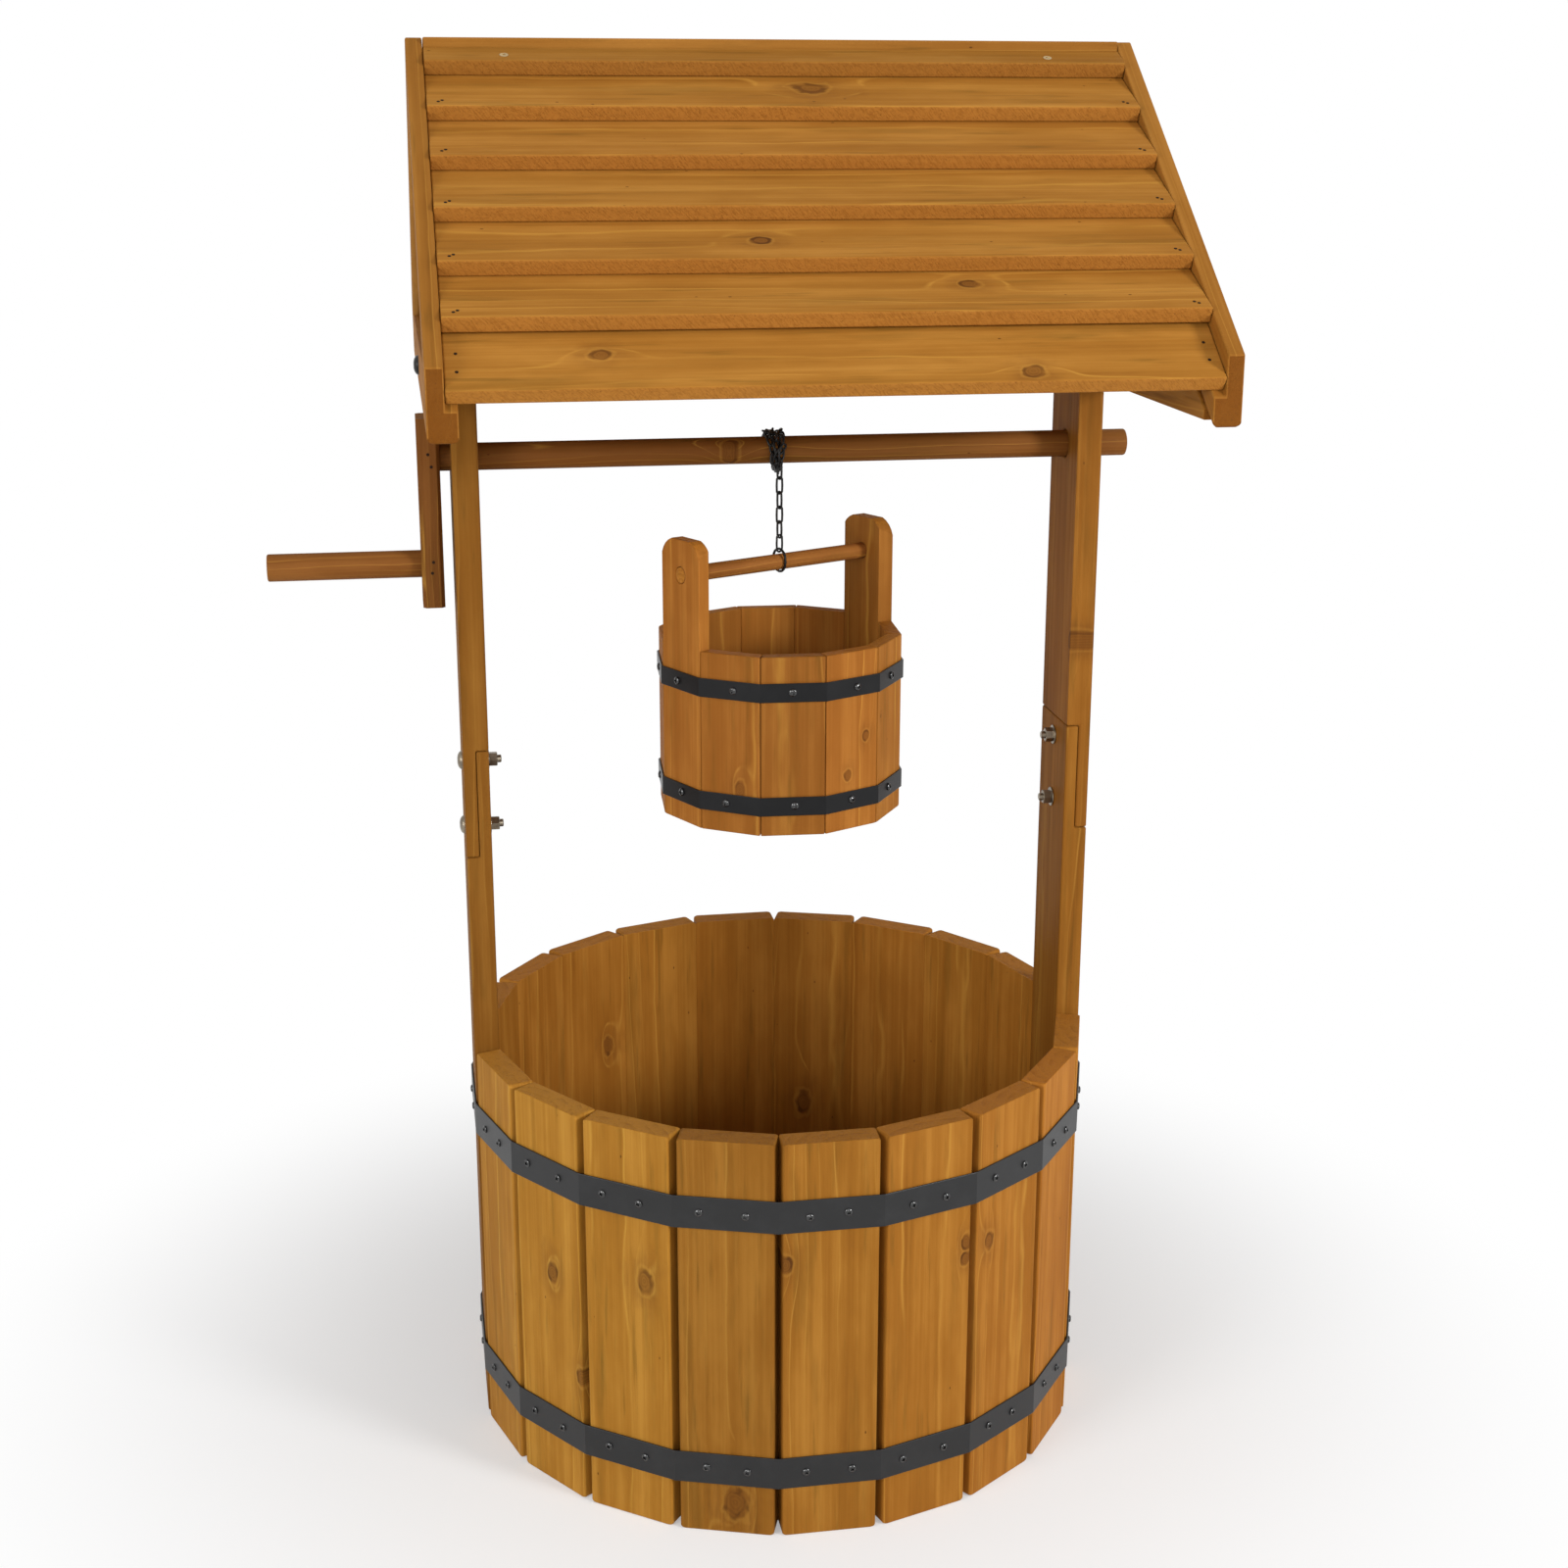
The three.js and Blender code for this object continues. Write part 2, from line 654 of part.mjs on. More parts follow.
function tallStave() {
  const blank = toSolid(extrude(shapeOf(staveOutline(0, 0, 0)), bucket_tall_height));
  const half = bucket_outer_apothem * Math.tan(stave_sweep / 2);
  const shoulder = bucket_tall_height - stave_shoulder_height;
  const top_half = half - stave_shoulder_width;
  const bulge_side = half - stave_shoulder_width * stave_shoulder_bulge_share;
  const bulge_height = bucket_tall_height - stave_shoulder_height * stave_shoulder_bulge_share;
  const face = new THREE.Shape();
  face.moveTo(-half, 0);
  face.lineTo(half, 0);
  face.lineTo(half, shoulder);
  face.quadraticCurveTo(bulge_side, bulge_height, top_half, bucket_tall_height);
  face.lineTo(-top_half, bucket_tall_height);
  face.quadraticCurveTo(-bulge_side, bulge_height, -half, shoulder);
  face.closePath();
  const start = bucket_inner_apothem - cut_overrun;
  const end = bucket_outer_apothem + cut_overrun;
  const hole = rodAlongX(bucket_handle_diameter + 2 * joint_gap, start, end, small_round_sides);
  hole.translate(0, 0, bucket_handle_height);
  return toGeometry(blank.intersect(toSolid(prismAlongX(face, start, end))).subtract(toSolid(hole)));
}

const half_ring = bucket_sides / 2;
for (const [name, turn] of [["right", 0], ["left", Math.PI]]) {
  addPiece(bucket, `bucket_tall_stave_${name}`, tallStave(), "stained_fir").rotation.z = turn;
}
for (const [name, turn] of [["rear", 0], ["front", Math.PI]]) {
  const outline = staveOutline(1, half_ring - 1, seam_angle);
  const staves = extrude(shapeOf(outline), bucket_height);
  addPiece(bucket, `bucket_staves_${name}`, staves, "stained_fir").rotation.z = turn;
}

const bucket_floor_shape = shapeOf(regularOutline(bucket_sides, bucket_inner_apothem - joint_gap));
const bucket_floor = extrude(bucket_floor_shape, bucket_floor_thickness);
addPiece(bucket, "bucket_floor", bucket_floor, "shaded_fir").position.z = bucket_floor_rise;

const bucket_rod = rodAlongX(bucket_handle_diameter, -bucket_outer_apothem, bucket_outer_apothem, small_round_sides);
addPiece(bucket, "bucket_handle", bucket_rod, "dowel").position.z = bucket_handle_height;

const bucket_band_apothem = bucket_outer_apothem + joint_gap;
const bucket_bands = [["lower", bucket_lower_band_bottom], ["upper", bucket_upper_band_bottom]];
for (const [name, bottom] of bucket_bands) {
  const ring = polygonRing(bucket_sides, bucket_band_apothem, bucket_band_thickness, bucket_band_height);
  addPiece(bucket, `bucket_band_${name}`, ring, "black_steel").position.z = bottom;
}

export default part;
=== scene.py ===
"""Dresses the wishing well planter: stained fir boards, black steel bands, a windlass and a small bucket.

Lengths are metres in the part's own frame: X along the axle, the front towards -Y, +Z up.
The grain of each wooden piece is laid by an attribute in millimetres along, across and through the board.
"""

import logging
import math
import random
from contextlib import contextmanager
from dataclasses import dataclass, field
from enum import Enum
from functools import reduce
from typing import Callable, Iterable, Iterator, Sequence

import bpy
from mathutils import Matrix, Vector


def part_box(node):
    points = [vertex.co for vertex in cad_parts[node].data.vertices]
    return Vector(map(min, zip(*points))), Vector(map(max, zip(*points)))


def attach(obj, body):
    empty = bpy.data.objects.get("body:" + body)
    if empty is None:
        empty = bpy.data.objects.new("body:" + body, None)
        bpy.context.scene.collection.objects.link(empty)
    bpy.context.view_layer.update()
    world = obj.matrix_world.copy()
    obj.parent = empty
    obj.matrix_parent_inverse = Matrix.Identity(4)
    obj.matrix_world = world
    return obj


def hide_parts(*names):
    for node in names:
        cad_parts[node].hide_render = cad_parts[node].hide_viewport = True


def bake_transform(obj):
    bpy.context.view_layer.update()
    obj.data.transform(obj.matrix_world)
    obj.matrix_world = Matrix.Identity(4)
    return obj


Socket = bpy.types.NodeSocket
Piece = bpy.types.Object
Stain = bpy.types.Material
Colour = tuple[float, float, float]

LOG = logging.getLogger("planter")
MM = 0.001
# A length too small to matter
HAIR = 0.01 * MM
UP = Vector((0, 0, 1))
RIGHT = Vector((1, 0, 0))
BACK = Vector((0, 1, 0))
# Distance of the inner faces of the barrel boards and the posts from the middle
INNER_FACE = 221.93 * MM
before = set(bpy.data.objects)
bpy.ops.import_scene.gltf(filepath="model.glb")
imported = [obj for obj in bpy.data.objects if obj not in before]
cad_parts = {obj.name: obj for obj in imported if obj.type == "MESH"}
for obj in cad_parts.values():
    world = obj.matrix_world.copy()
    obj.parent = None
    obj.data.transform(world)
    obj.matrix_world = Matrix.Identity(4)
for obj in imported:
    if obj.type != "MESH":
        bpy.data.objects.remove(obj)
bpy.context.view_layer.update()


class Slot(Enum):
    """Material slots of the record."""

    STAINED = "stained_fir"
    ROOF = "roof_fir"
    SHADED = "shaded_fir"
    DOWEL = "dowel"
    BLACK = "black_steel"
    CHAIN = "chain_steel"


class Body(Enum):
    """Moving bodies of the record."""

    PLANTER = "planter"
    WINDLASS = "windlass"
    CHAIN_END = "chain_end"
    LOOP = "handle_loop"
    BUCKET = "bucket"


class Shading(Enum):
    """How a finished mesh is shaded, as the widest angle that is smoothed over."""

    FLAT = 0
    ROUND = 38


# Node graphs


class Graph:
    """Builds the nodes of one material or world."""

    def __init__(self, owner: Stain | bpy.types.World) -> None:
        """Starts with no nodes in a material or world."""
        owner.use_nodes = True
        self.owner = owner
        self.tree = owner.node_tree
        self.tree.nodes.clear()

    def fill(self, socket: Socket, value: object) -> None:
        """Links an input or sets its constant; a colour gets a full alpha."""
        if isinstance(value, Socket):
            self.tree.links.new(value, socket)
        else:
            socket.default_value = (*value, 1.0) if socket.type == "RGBA" else value

    def add(self, kind: str, inputs: dict | None = None, **settings: object) -> bpy.types.Node:
        """Adds a node.

        Args:
            kind: The node's type name.
            inputs: Values or sockets by input name or index.
            **settings: The node's own properties.

        Returns:
            The new node.
        """
        node = self.tree.nodes.new(kind)
        for key, value in settings.items():
            setattr(node, key, value)
        for key, value in (inputs or {}).items():
            self.fill(node.inputs[key], value)
        return node

    def math(self, operation: str, *values: object) -> Socket:
        """Adds a Math node and returns its result."""
        return self.add("ShaderNodeMath", dict(enumerate(values)), operation=operation).outputs[0]

    def plus(self, *values: object) -> Socket:
        """Adds values up."""
        return reduce(lambda first, second: self.math("ADD", first, second), values)

    def minus(self, first: object, second: object) -> Socket:
        """Takes the second value from the first."""
        return self.math("SUBTRACT", first, second)

    def times(self, *values: object) -> Socket:
        """Multiplies values."""
        return reduce(lambda first, second: self.math("MULTIPLY", first, second), values)

    def stretched(self, place: Socket, pace: Sequence[float]) -> Socket:
        """Multiplies coordinates, each by its own pace."""
        return self.add("ShaderNodeVectorMath", {0: place, 1: tuple(pace)}, operation="MULTIPLY").outputs[0]

    def split(self, vector: Socket) -> list[Socket]:
        """Splits a vector into its three numbers."""
        return list(self.add("ShaderNodeSeparateXYZ", {0: vector}).outputs)

    def join(self, x: object, y: object, z: object) -> Socket:
        """Joins three numbers into a vector."""
        return self.add("ShaderNodeCombineXYZ", {0: x, 1: y, 2: z}).outputs[0]

    def attribute(self, name: str) -> bpy.types.Node:
        """Reads one of the mesh's attributes."""
        return self.add("ShaderNodeAttribute", attribute_name=name)

    def noise(self, place: Socket, pace: Sequence[float], detail: float = 2.0, rough: float = 0.55) -> Socket:
        """A noise near 0.5, with a pace in cycles along each axis, its octaves and the weight of the finer ones."""
        inputs = {"Vector": self.stretched(place, pace), "Scale": 1.0, "Detail": detail, "Roughness": rough}
        return self.add("ShaderNodeTexNoise", inputs).outputs["Fac"]

    def cloud(self, place: Socket, pace: Sequence[float], low: float, high: float, *quality: float) -> Socket:
        """A noise cut to a range of its values, 0 at low and 1 at high; the quality is its detail and rough."""
        return self.span(self.noise(place, pace, *quality), low, high)

    def specks(self, place: Socket, pace: Sequence[float], size: float, share: float) -> Socket:
        """Scattered marks, 1 inside: a share of the cells has one, its radius a size in cells."""
        distance, cell = self.add("ShaderNodeTexVoronoi", {0: self.stretched(place, pace), "Scale": 1.0}).outputs[:2]
        return self.times(self.span(distance, size, size * 0.5), self.math("LESS_THAN", self.split(cell)[0], share))

    def span(self, value: Socket, low: float, high: float, to_low: float = 0.0, to_high: float = 1.0) -> Socket:
        """Maps a range of a value smoothly to another range."""
        inputs = {"Value": value, "From Min": low, "From Max": high, "To Min": to_low, "To Max": to_high}
        return self.add("ShaderNodeMapRange", inputs, interpolation_type="SMOOTHSTEP").outputs[0]

    def ramp(self, value: Socket, stops: Sequence[tuple[float, float]]) -> Socket:
        """Turns a value into another by straight runs between stops."""
        node = self.add("ShaderNodeValToRGB", {0: value})
        bands = node.color_ramp.elements
        while len(bands) < len(stops):
            bands.new(0.5)
        for band, (at, level) in zip(bands, stops):
            band.position = at
            band.color = (level, level, level, 1.0)
        return node.outputs[0]

    def blend(self, share: object, first: object, second: object, mode: str = "MIX") -> Socket:
        """Mixes two colours."""
        inputs = {0: share, 6: first, 7: second}
        return self.add("ShaderNodeMix", inputs, data_type="RGBA", blend_type=mode).outputs[2]

    def layered(self, colour: object, *layers: tuple[Socket, object, Colour]) -> Socket:
        """Lays colours over a first one; each layer is a mask, its weight and its colour."""
        for mask, weight, over in layers:
            colour = self.blend(self.times(mask, weight), colour, over)
        return colour

    def surface(self, colour: Socket, gloss: Socket, bump: Socket, specular: float, metallic: float = 0.0) -> Stain:
        """Closes the graph with a shader."""
        inputs = {"Base Color": colour, "Metallic": metallic, "Roughness": gloss, "Normal": bump}
        return self.finish(self.add("ShaderNodeBsdfPrincipled", {**inputs, "Specular IOR Level": specular}).outputs[0])

    def bump(self, height: Socket, strength: float, depth: float) -> Socket:
        """Turns a height into bumps."""
        return self.add("ShaderNodeBump", {"Strength": strength, "Distance": depth, "Height": height}).outputs[0]

    def finish(self, shader: Socket) -> Stain:
        """Closes the graph with its output."""
        self.add("ShaderNodeOutputMaterial", {"Surface": shader})
        return self.owner


@dataclass(frozen=True)
class StainedFir:
    """Fir under a translucent stain: rings, fibres, blotches, mineral streaks, pin holes and knots."""

    name: str
    light: Colour = (0.45, 0.188, 0.029)
    middle: Colour = (0.345, 0.13, 0.016)
    dark: Colour = (0.2, 0.064, 0.007)
    mineral: Colour = (0.15, 0.072, 0.01)
    sawn: Colour = (0.39, 0.14, 0.016)
    end_grain: Colour = (0.42, 0.165, 0.024)
    knot: Colour = (0.085, 0.028, 0.006)
    heart: Colour = (0.205, 0.072, 0.012)
    pale: Colour = (0.56, 0.27, 0.045)
    knot_length: float = 1.45
    ring_spacing: float = 8.5
    ring_share: float = 0.3
    specular: float = 0.05
    roughness: float = 0.6

    def knot_fields(self, g: Graph, grain: Socket) -> tuple[Socket, Socket]:
        """Distance from the nearest knot in knot radii, and how far the knots push the rings aside.

        Args:
            g: The graph being built.
            grain: Place in the board.

        Returns:
            The distance and the push.
        """
        along, across, _ = g.split(grain)
        wobble = g.noise(grain, (0.06, 0.09, 0.02), 2.5)
        distances, swells = [], []
        for name in ("knot_a", "knot_b"):
            knot_along, knot_across, radius = g.split(g.attribute(name).outputs["Vector"])
            run = g.math("DIVIDE", g.minus(along, knot_along), g.times(radius, self.knot_length))
            side = g.math("DIVIDE", g.minus(across, knot_across), radius)
            run_square, side_square = g.times(run, run), g.times(side, side)
            even = g.math("SQRT", g.plus(run_square, side_square))
            distances.append(g.times(even, g.plus(g.times(wobble, 1.3), 0.35)))
            fall = g.math("EXPONENT", g.times(g.plus(g.times(run_square, 0.1), g.times(side_square, 0.3)), -1.0))
            swells.append(g.times(fall, g.times(radius, 1.5)))
        return g.math("MINIMUM", *distances), g.plus(*swells)

    def ring_fields(self, g: Graph, grain: Socket, push: Socket) -> list[Socket]:
        """Late wood and the pale line after it, for each year ring.

        Args:
            g: The graph being built.
            grain: Place in the board.
            push: How far the knots push the rings aside.

        Returns:
            The late wood and the pale line.
        """
        _, across, through = g.split(grain)
        drift = g.times(g.minus(g.noise(grain, (0.0022, 0.008, 0.008), 1.0), 0.5), 34.0)
        ripple = g.times(g.minus(g.noise(grain, (0.012, 0.05, 0.05), 2.0), 0.5), 3.2)
        side = g.plus(across, drift)
        radius = g.math("SQRT", g.plus(g.times(side, side), g.times(through, through)))
        ring = g.math("FRACT", g.math("DIVIDE", g.plus(radius, ripple, push), self.ring_spacing))
        strength = g.cloud(grain, (0.003, 0.09, 0.09), 0.35, 0.65)
        late = g.ramp(ring, ((0.0, 0.0), (0.5, 0.35), (0.86, 1.0), (0.93, 0.15), (1.0, 0.0)))
        pale = g.ramp(ring, ((0.88, 0.0), (0.95, 1.0), (1.0, 0.0)))
        return [g.times(late, strength), g.times(pale, strength)]

    def build(self) -> Stain:
        """Makes the material."""
        g = Graph(bpy.data.materials.new(self.name))
        grain = g.attribute("grain").outputs["Vector"]
        bright, warm, knot_depth = g.split(g.attribute("tone_and_painted_light").outputs["Vector"])
        rough_face = g.attribute("rough_face").outputs["Fac"]
        distance, push = self.knot_fields(g, grain)
        late, pale = self.ring_fields(g, grain, push)
        streak = g.noise(grain, (0.005, 0.45, 0.45), 3.0, 0.6)
        fibre = g.noise(grain, (0.045, 2.4, 2.4), 2.0, 0.6)
        shade = g.plus(
            g.times(late, self.ring_share),
            g.times(g.cloud(grain, (0.0028, 0.075, 0.075), 0.34, 0.66), 0.36),
            g.times(g.span(streak, 0.3, 0.7), 0.2),
            g.times(g.cloud(grain, (0.011, 0.028, 0.028), 0.32, 0.68, 3.0, 0.6), 0.3),
            g.times(g.span(fibre, 0.25, 0.75), 0.1),
        )
        colour = g.layered(
            g.blend(g.span(shade, 0.05, 0.75), self.light, self.middle),
            (g.span(shade, 0.6, 1.4), 0.7, self.dark),
            (g.cloud(grain, (0.006, 0.055, 0.055), 0.53, 0.72, 4.0, 0.6), 0.32, self.mineral),
            (g.cloud(grain, (0.011, 0.16, 0.16), 0.58, 0.74, 3.0), 0.42, self.mineral),
            (pale, 0.62, self.pale),
        )
        colour = self.add_knots(g, colour, grain, distance, knot_depth)
        colour = g.layered(colour, (g.specks(grain, (0.045, 0.09, 0.09), 0.07, 0.22), 0.8, self.knot))
        is_end = g.span(rough_face, 0.6, 1.0)
        along, across, through = g.split(grain)
        slant = g.join(g.plus(along, g.times(through, 0.8)), across, through)
        flecks = g.cloud(slant, (0.8, 0.2, 0.2), 0.46, 0.66, 2.0, 0.6)
        marks = g.plus(g.times(flecks, g.minus(1.0, is_end)), g.times(late, is_end))
        pores = g.cloud(grain, (0.7, 0.8, 0.8), 0.5, 0.68, 3.0, 0.65)
        sawn = g.layered(
            g.blend(is_end, self.sawn, self.end_grain),
            (marks, 0.45, self.dark),
            (pores, 0.45, self.dark),
            (g.specks(grain, (0.3, 0.3, 0.3), 0.16, 0.3), 0.75, self.knot),
        )
        colour = g.blend(g.span(rough_face, 0.0, 0.6, 0.0, 0.85), colour, sawn)
        # The board's tone, partly its own and partly painted light and shade, scales the colour.
        level = g.join(bright, g.times(bright, warm), g.times(bright, warm))
        relief = g.plus(
            g.times(fibre, 0.5),
            g.times(late, 0.3),
            g.times(g.plus(pores, marks), rough_face, -1.8),
            g.times(g.span(distance, 1.3, 0.7), 0.5),
        )
        gloss = g.plus(g.times(streak, 0.14), self.roughness - 0.07)
        colour = g.blend(1.0, colour, level, "MULTIPLY")
        return g.surface(colour, gloss, g.bump(relief, 0.55, 0.22 * MM), self.specular)

    def add_knots(self, g: Graph, colour: Socket, grain: Socket, distance: Socket, depth: Socket) -> Socket:
        """Lays the knots over the stain: a halo along the grain, a brown heart, a pale rim and dark crescents.

        Args:
            g: The graph being built.
            colour: The stained wood so far.
            grain: Place in the board.
            distance: Distance from the nearest knot in knot radii.
            depth: How dark this board's knots are.

        Returns:
            The colour with its knots.
        """
        tails = g.span(g.noise(grain, (0.02, 0.3, 0.2), 2.0, 0.6), 0.3, 0.7, 0.15, 0.6)
        sides = g.cloud(grain, (0.07, 0.11, 0.03), 0.4, 0.58, 1.5)
        years = g.span(g.math("PINGPONG", distance, 0.14), 0.0, 0.14)
        off_rim = g.math("ABSOLUTE", g.minus(distance, 1.18))
        off_crescent = g.math("ABSOLUTE", g.minus(distance, 0.84))
        return g.layered(
            colour,
            (g.span(distance, 3.4, 0.9), tails, self.heart),
            (g.span(off_rim, 0.3, 0.05), 0.2, self.pale),
            (g.span(distance, 1.15, 0.7), depth, self.heart),
            (g.times(g.span(distance, 0.95, 0.8), years, depth), 0.4, self.knot),
            (g.times(g.span(off_crescent, 0.34, 0.06), sides), depth, self.knot),
        )


@dataclass(frozen=True)
class Steel:
    """Painted or plated steel with a fine uneven surface."""

    name: str
    colour: Colour
    worn: Colour
    metallic: float
    roughness: float
    wear_share: float = 0.35
    specular: float = 0.5

    def build(self) -> Stain:
        """Makes the material."""
        g = Graph(bpy.data.materials.new(self.name))
        place = g.stretched(g.add("ShaderNodeTexCoord").outputs["Object"], (1 / MM, 1 / MM, 1 / MM))
        patches = g.noise(place, (0.05, 0.05, 0.05), 4.0, 0.6)
        grit = g.noise(place, (1.6, 1.6, 1.6), 2.0, 0.6)
        colour = g.layered(
            self.colour,
            (g.span(patches, 0.42, 0.72), self.wear_share, self.worn),
            (g.span(grit, 0.5, 0.75), 0.25, self.worn),
        )
        gloss = g.plus(g.times(grit, 0.16), g.times(patches, 0.12), self.roughness - 0.14)
        return g.surface(colour, gloss, g.bump(grit, 0.35, 0.06 * MM), self.specular, self.metallic)


BARREL_FIR = StainedFir("barrel_fir").build()
ROOF_FIR = StainedFir("roof_fir", light=(0.46, 0.2, 0.035), middle=(0.36, 0.144, 0.021),
                      sawn=(0.37, 0.143, 0.024), end_grain=(0.19, 0.058, 0.005)).build()
BUCKET_FIR = StainedFir("bucket_fir", light=(0.4, 0.158, 0.028), middle=(0.3, 0.106, 0.016)).build()
DOWEL_FIR = StainedFir("dowel_fir", light=(0.29, 0.108, 0.024), middle=(0.215, 0.074, 0.015),
                       ring_spacing=3.4).build()
BAND_STEEL = Steel("band_steel", (0.0105, 0.0105, 0.011), (0.023, 0.023, 0.024), 0.25, 0.42).build()
BUCKET_STEEL = Steel("bucket_band_steel", (0.004, 0.004, 0.0045), (0.009, 0.009, 0.01), 0.0, 0.34,
                     specular=0.22).build()
SCREW_STEEL = Steel("screw_steel", (0.006, 0.006, 0.0065), (0.012, 0.012, 0.012), 0.0, 0.2, specular=0.8).build()
CHAIN_STEEL = Steel("chain_steel", (0.014, 0.013, 0.012), (0.04, 0.036, 0.032), 0.6, 0.38).build()
ZINC_STEEL = Steel("zinc_steel", (0.3, 0.26, 0.2), (0.1, 0.07, 0.045), 1.0, 0.36, 0.7).build()
BRASS_STEEL = Steel("brassed_steel", (0.55, 0.42, 0.22), (0.25, 0.17, 0.08), 1.0, 0.34, 0.4).build()
NAIL_STEEL = Steel("nail_steel", (0.018, 0.009, 0.004), (0.05, 0.025, 0.01), 0.0, 0.75, specular=0.1).build()


# Work on meshes, as by hand


def take(*pieces: Piece) -> None:
    """Selects these pieces alone; the last one is active."""
    bpy.ops.object.select_all(action="DESELECT")
    for piece in pieces:
        piece.select_set(True)
    bpy.context.view_layer.objects.active = pieces[-1]


@contextmanager
def editing(piece: Piece) -> Iterator[None]:
    """Holds a piece in edit mode, with all of it selected at first."""
    take(piece)
    bpy.ops.object.mode_set(mode="EDIT")
    bpy.ops.mesh.select_all(action="SELECT")
    yield
    bpy.ops.object.mode_set(mode="OBJECT")


def pick(piece: Piece, kind: str, wanted: Callable[..., bool]) -> None:
    """Selects the faces, edges or corners that fit.

    Args:
        piece: The active piece, in edit mode.
        kind: FACE, EDGE or VERT.
        wanted: Says whether a face, edge or corner is selected.
    """
    bpy.ops.mesh.select_mode(type=kind)
    bpy.ops.mesh.select_all(action="DESELECT")
    bpy.ops.object.mode_set(mode="OBJECT")
    mesh = piece.data
    for part in {"FACE": mesh.polygons, "EDGE": mesh.edges, "VERT": mesh.vertices}[kind]:
        part.select = wanted(part)
    bpy.ops.object.mode_set(mode="EDIT")


def named(piece: Piece, name: str) -> Piece:
    """Names a piece and its mesh."""
    piece.name = name
    piece.data.name = name
    return piece


def placed(name: str, data: bpy.types.ID) -> Piece:
    """Makes an object of some data and puts it in the scene."""
    item = bpy.data.objects.new(name, data)
    bpy.context.scene.collection.objects.link(item)
    return item


def copy_of(source: Piece, name: str) -> Piece:
    """Copies a piece or node to the origin, with a mesh of its own."""
    piece = placed(name, source.data.copy())
    piece.data.name = name
    return piece


def ease(piece: Piece, width: float, segments: int = 2, angle: float = 30.0) -> None:
    """Rounds the edges that are sharper than an angle."""
    take(piece)
    bpy.ops.object.modifier_add(type="BEVEL")
    bevel = piece.modifiers[-1]
    bevel.width = width
    bevel.segments = segments
    bevel.limit_method = "ANGLE"
    bevel.angle_limit = math.radians(angle)
    bpy.ops.object.modifier_apply(modifier=bevel.name)


def shade(piece: Piece, shading: Shading) -> None:
    """Shades a piece flat, or smoothly over its round faces."""
    take(piece)
    if shading is Shading.FLAT:
        bpy.ops.object.shade_flat()
    else:
        bpy.ops.object.shade_smooth_by_angle(angle=math.radians(shading.value))


def join(pieces: Sequence[Piece], name: str) -> Piece:
    """Joins pieces into one, with its place in its mesh."""
    take(*pieces)
    bpy.ops.object.transform_apply(location=True, rotation=True, scale=True)
    if len(pieces) > 1:
        bpy.ops.object.join()
    return named(bpy.context.view_layer.objects.active, name)


def solid_copy(node: str, name: str) -> Piece:
    """Copies a node of the frame with its loose triangles joined into whole faces."""
    piece = copy_of(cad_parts[node], name)
    with editing(piece):
        bpy.ops.mesh.remove_doubles(threshold=HAIR)
        bpy.ops.mesh.dissolve_limited(angle_limit=math.radians(0.6))
    return piece


def cut_away(piece: Piece, point: Vector, normal: Vector) -> None:
    """Cuts a closed piece with a plane, drops what lies on the normal's side and closes the cut."""
    with editing(piece):
        bpy.ops.mesh.bisect(plane_co=point, plane_no=normal, use_fill=True, clear_outer=True)


def dress(piece: Piece, material: Stain, body: Body = Body.PLANTER, node: str = "") -> None:
    """Gives a piece its material and body, and hides the node that it replaces if there is one."""
    piece.data.materials.clear()
    piece.data.materials.append(material)
    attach(piece, body.value)
    if node:
        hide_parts(node)
    LOG.info("%s: %d faces, %s, rides on %s", piece.name, len(piece.data.polygons), material.name, body.value)


@dataclass(frozen=True)
class Knot:
    """A knot at a place on a board, in millimetres from the board's middle."""

    along: float
    across: float
    radius: float


NO_KNOT = Knot(9000.0, 9000.0, 1.0)


@dataclass
class Timber:
    """How a board was cut from its log, which sets its grain."""

    along: Vector
    across: Vector
    seed: int
    # Multiplies the stain's brightness: the board's own tone, and on some boards painted light and shade as well.
    tone_and_painted_light: float = 1.0
    knots: tuple[Knot, ...] = ()
    warmth: float = 1.0
    pith_depth: tuple[float, float] = (25.0, 70.0)
    rough_below: bool = False

    def lay(self, piece: Piece) -> None:
        """Writes the grain on a piece.

        Args:
            piece: A finished mesh, with its place in its mesh.
        """
        chance = random.Random(self.seed)
        mesh = piece.data
        through = self.along.cross(self.across)
        corners = [corner.co for corner in mesh.vertices]
        low = Vector(min(c[i] for c in corners) for i in range(3))
        high = Vector(max(c[i] for c in corners) for i in range(3))
        middle = (low + high) / 2
        start = Vector((chance.uniform(-4000, 4000), chance.uniform(-26, 26), chance.uniform(*self.pith_depth)))
        grain = []
        for corner in corners:
            away = (corner - middle) / MM
            grain.extend(away.dot(axis) + begin for axis, begin in zip((self.along, self.across, through), start))
        tone_and_painted_light = self.tone_and_painted_light * chance.uniform(0.95, 1.05)
        warmth = self.warmth * chance.uniform(0.97, 1.04)
        fields = {"grain": grain}
        for name, knot in zip(("knot_a", "knot_b"), (*self.knots, NO_KNOT, NO_KNOT)):
            fields[name] = [knot.along + start[0], knot.across + start[1], knot.radius] * len(corners)
        fields["tone_and_painted_light"] = [tone_and_painted_light, warmth, chance.uniform(0.5, 0.85)] * len(corners)
        for name, values in fields.items():
            mesh.attributes.new(name, "FLOAT_VECTOR", "POINT").data.foreach_set("vector", values)
        rough = []
        for face in mesh.polygons:
            is_end = abs(face.normal.dot(self.along)) > 0.8
            is_sawn = self.rough_below and abs(face.normal.dot(self.across)) > 0.9 and face.normal.z < 0
            rough.append(1.0 if is_end else 0.55 if is_sawn else 0.0)
        mesh.attributes.new("rough_face", "FLOAT", "FACE").data.foreach_set("value", rough)
        mesh.update()


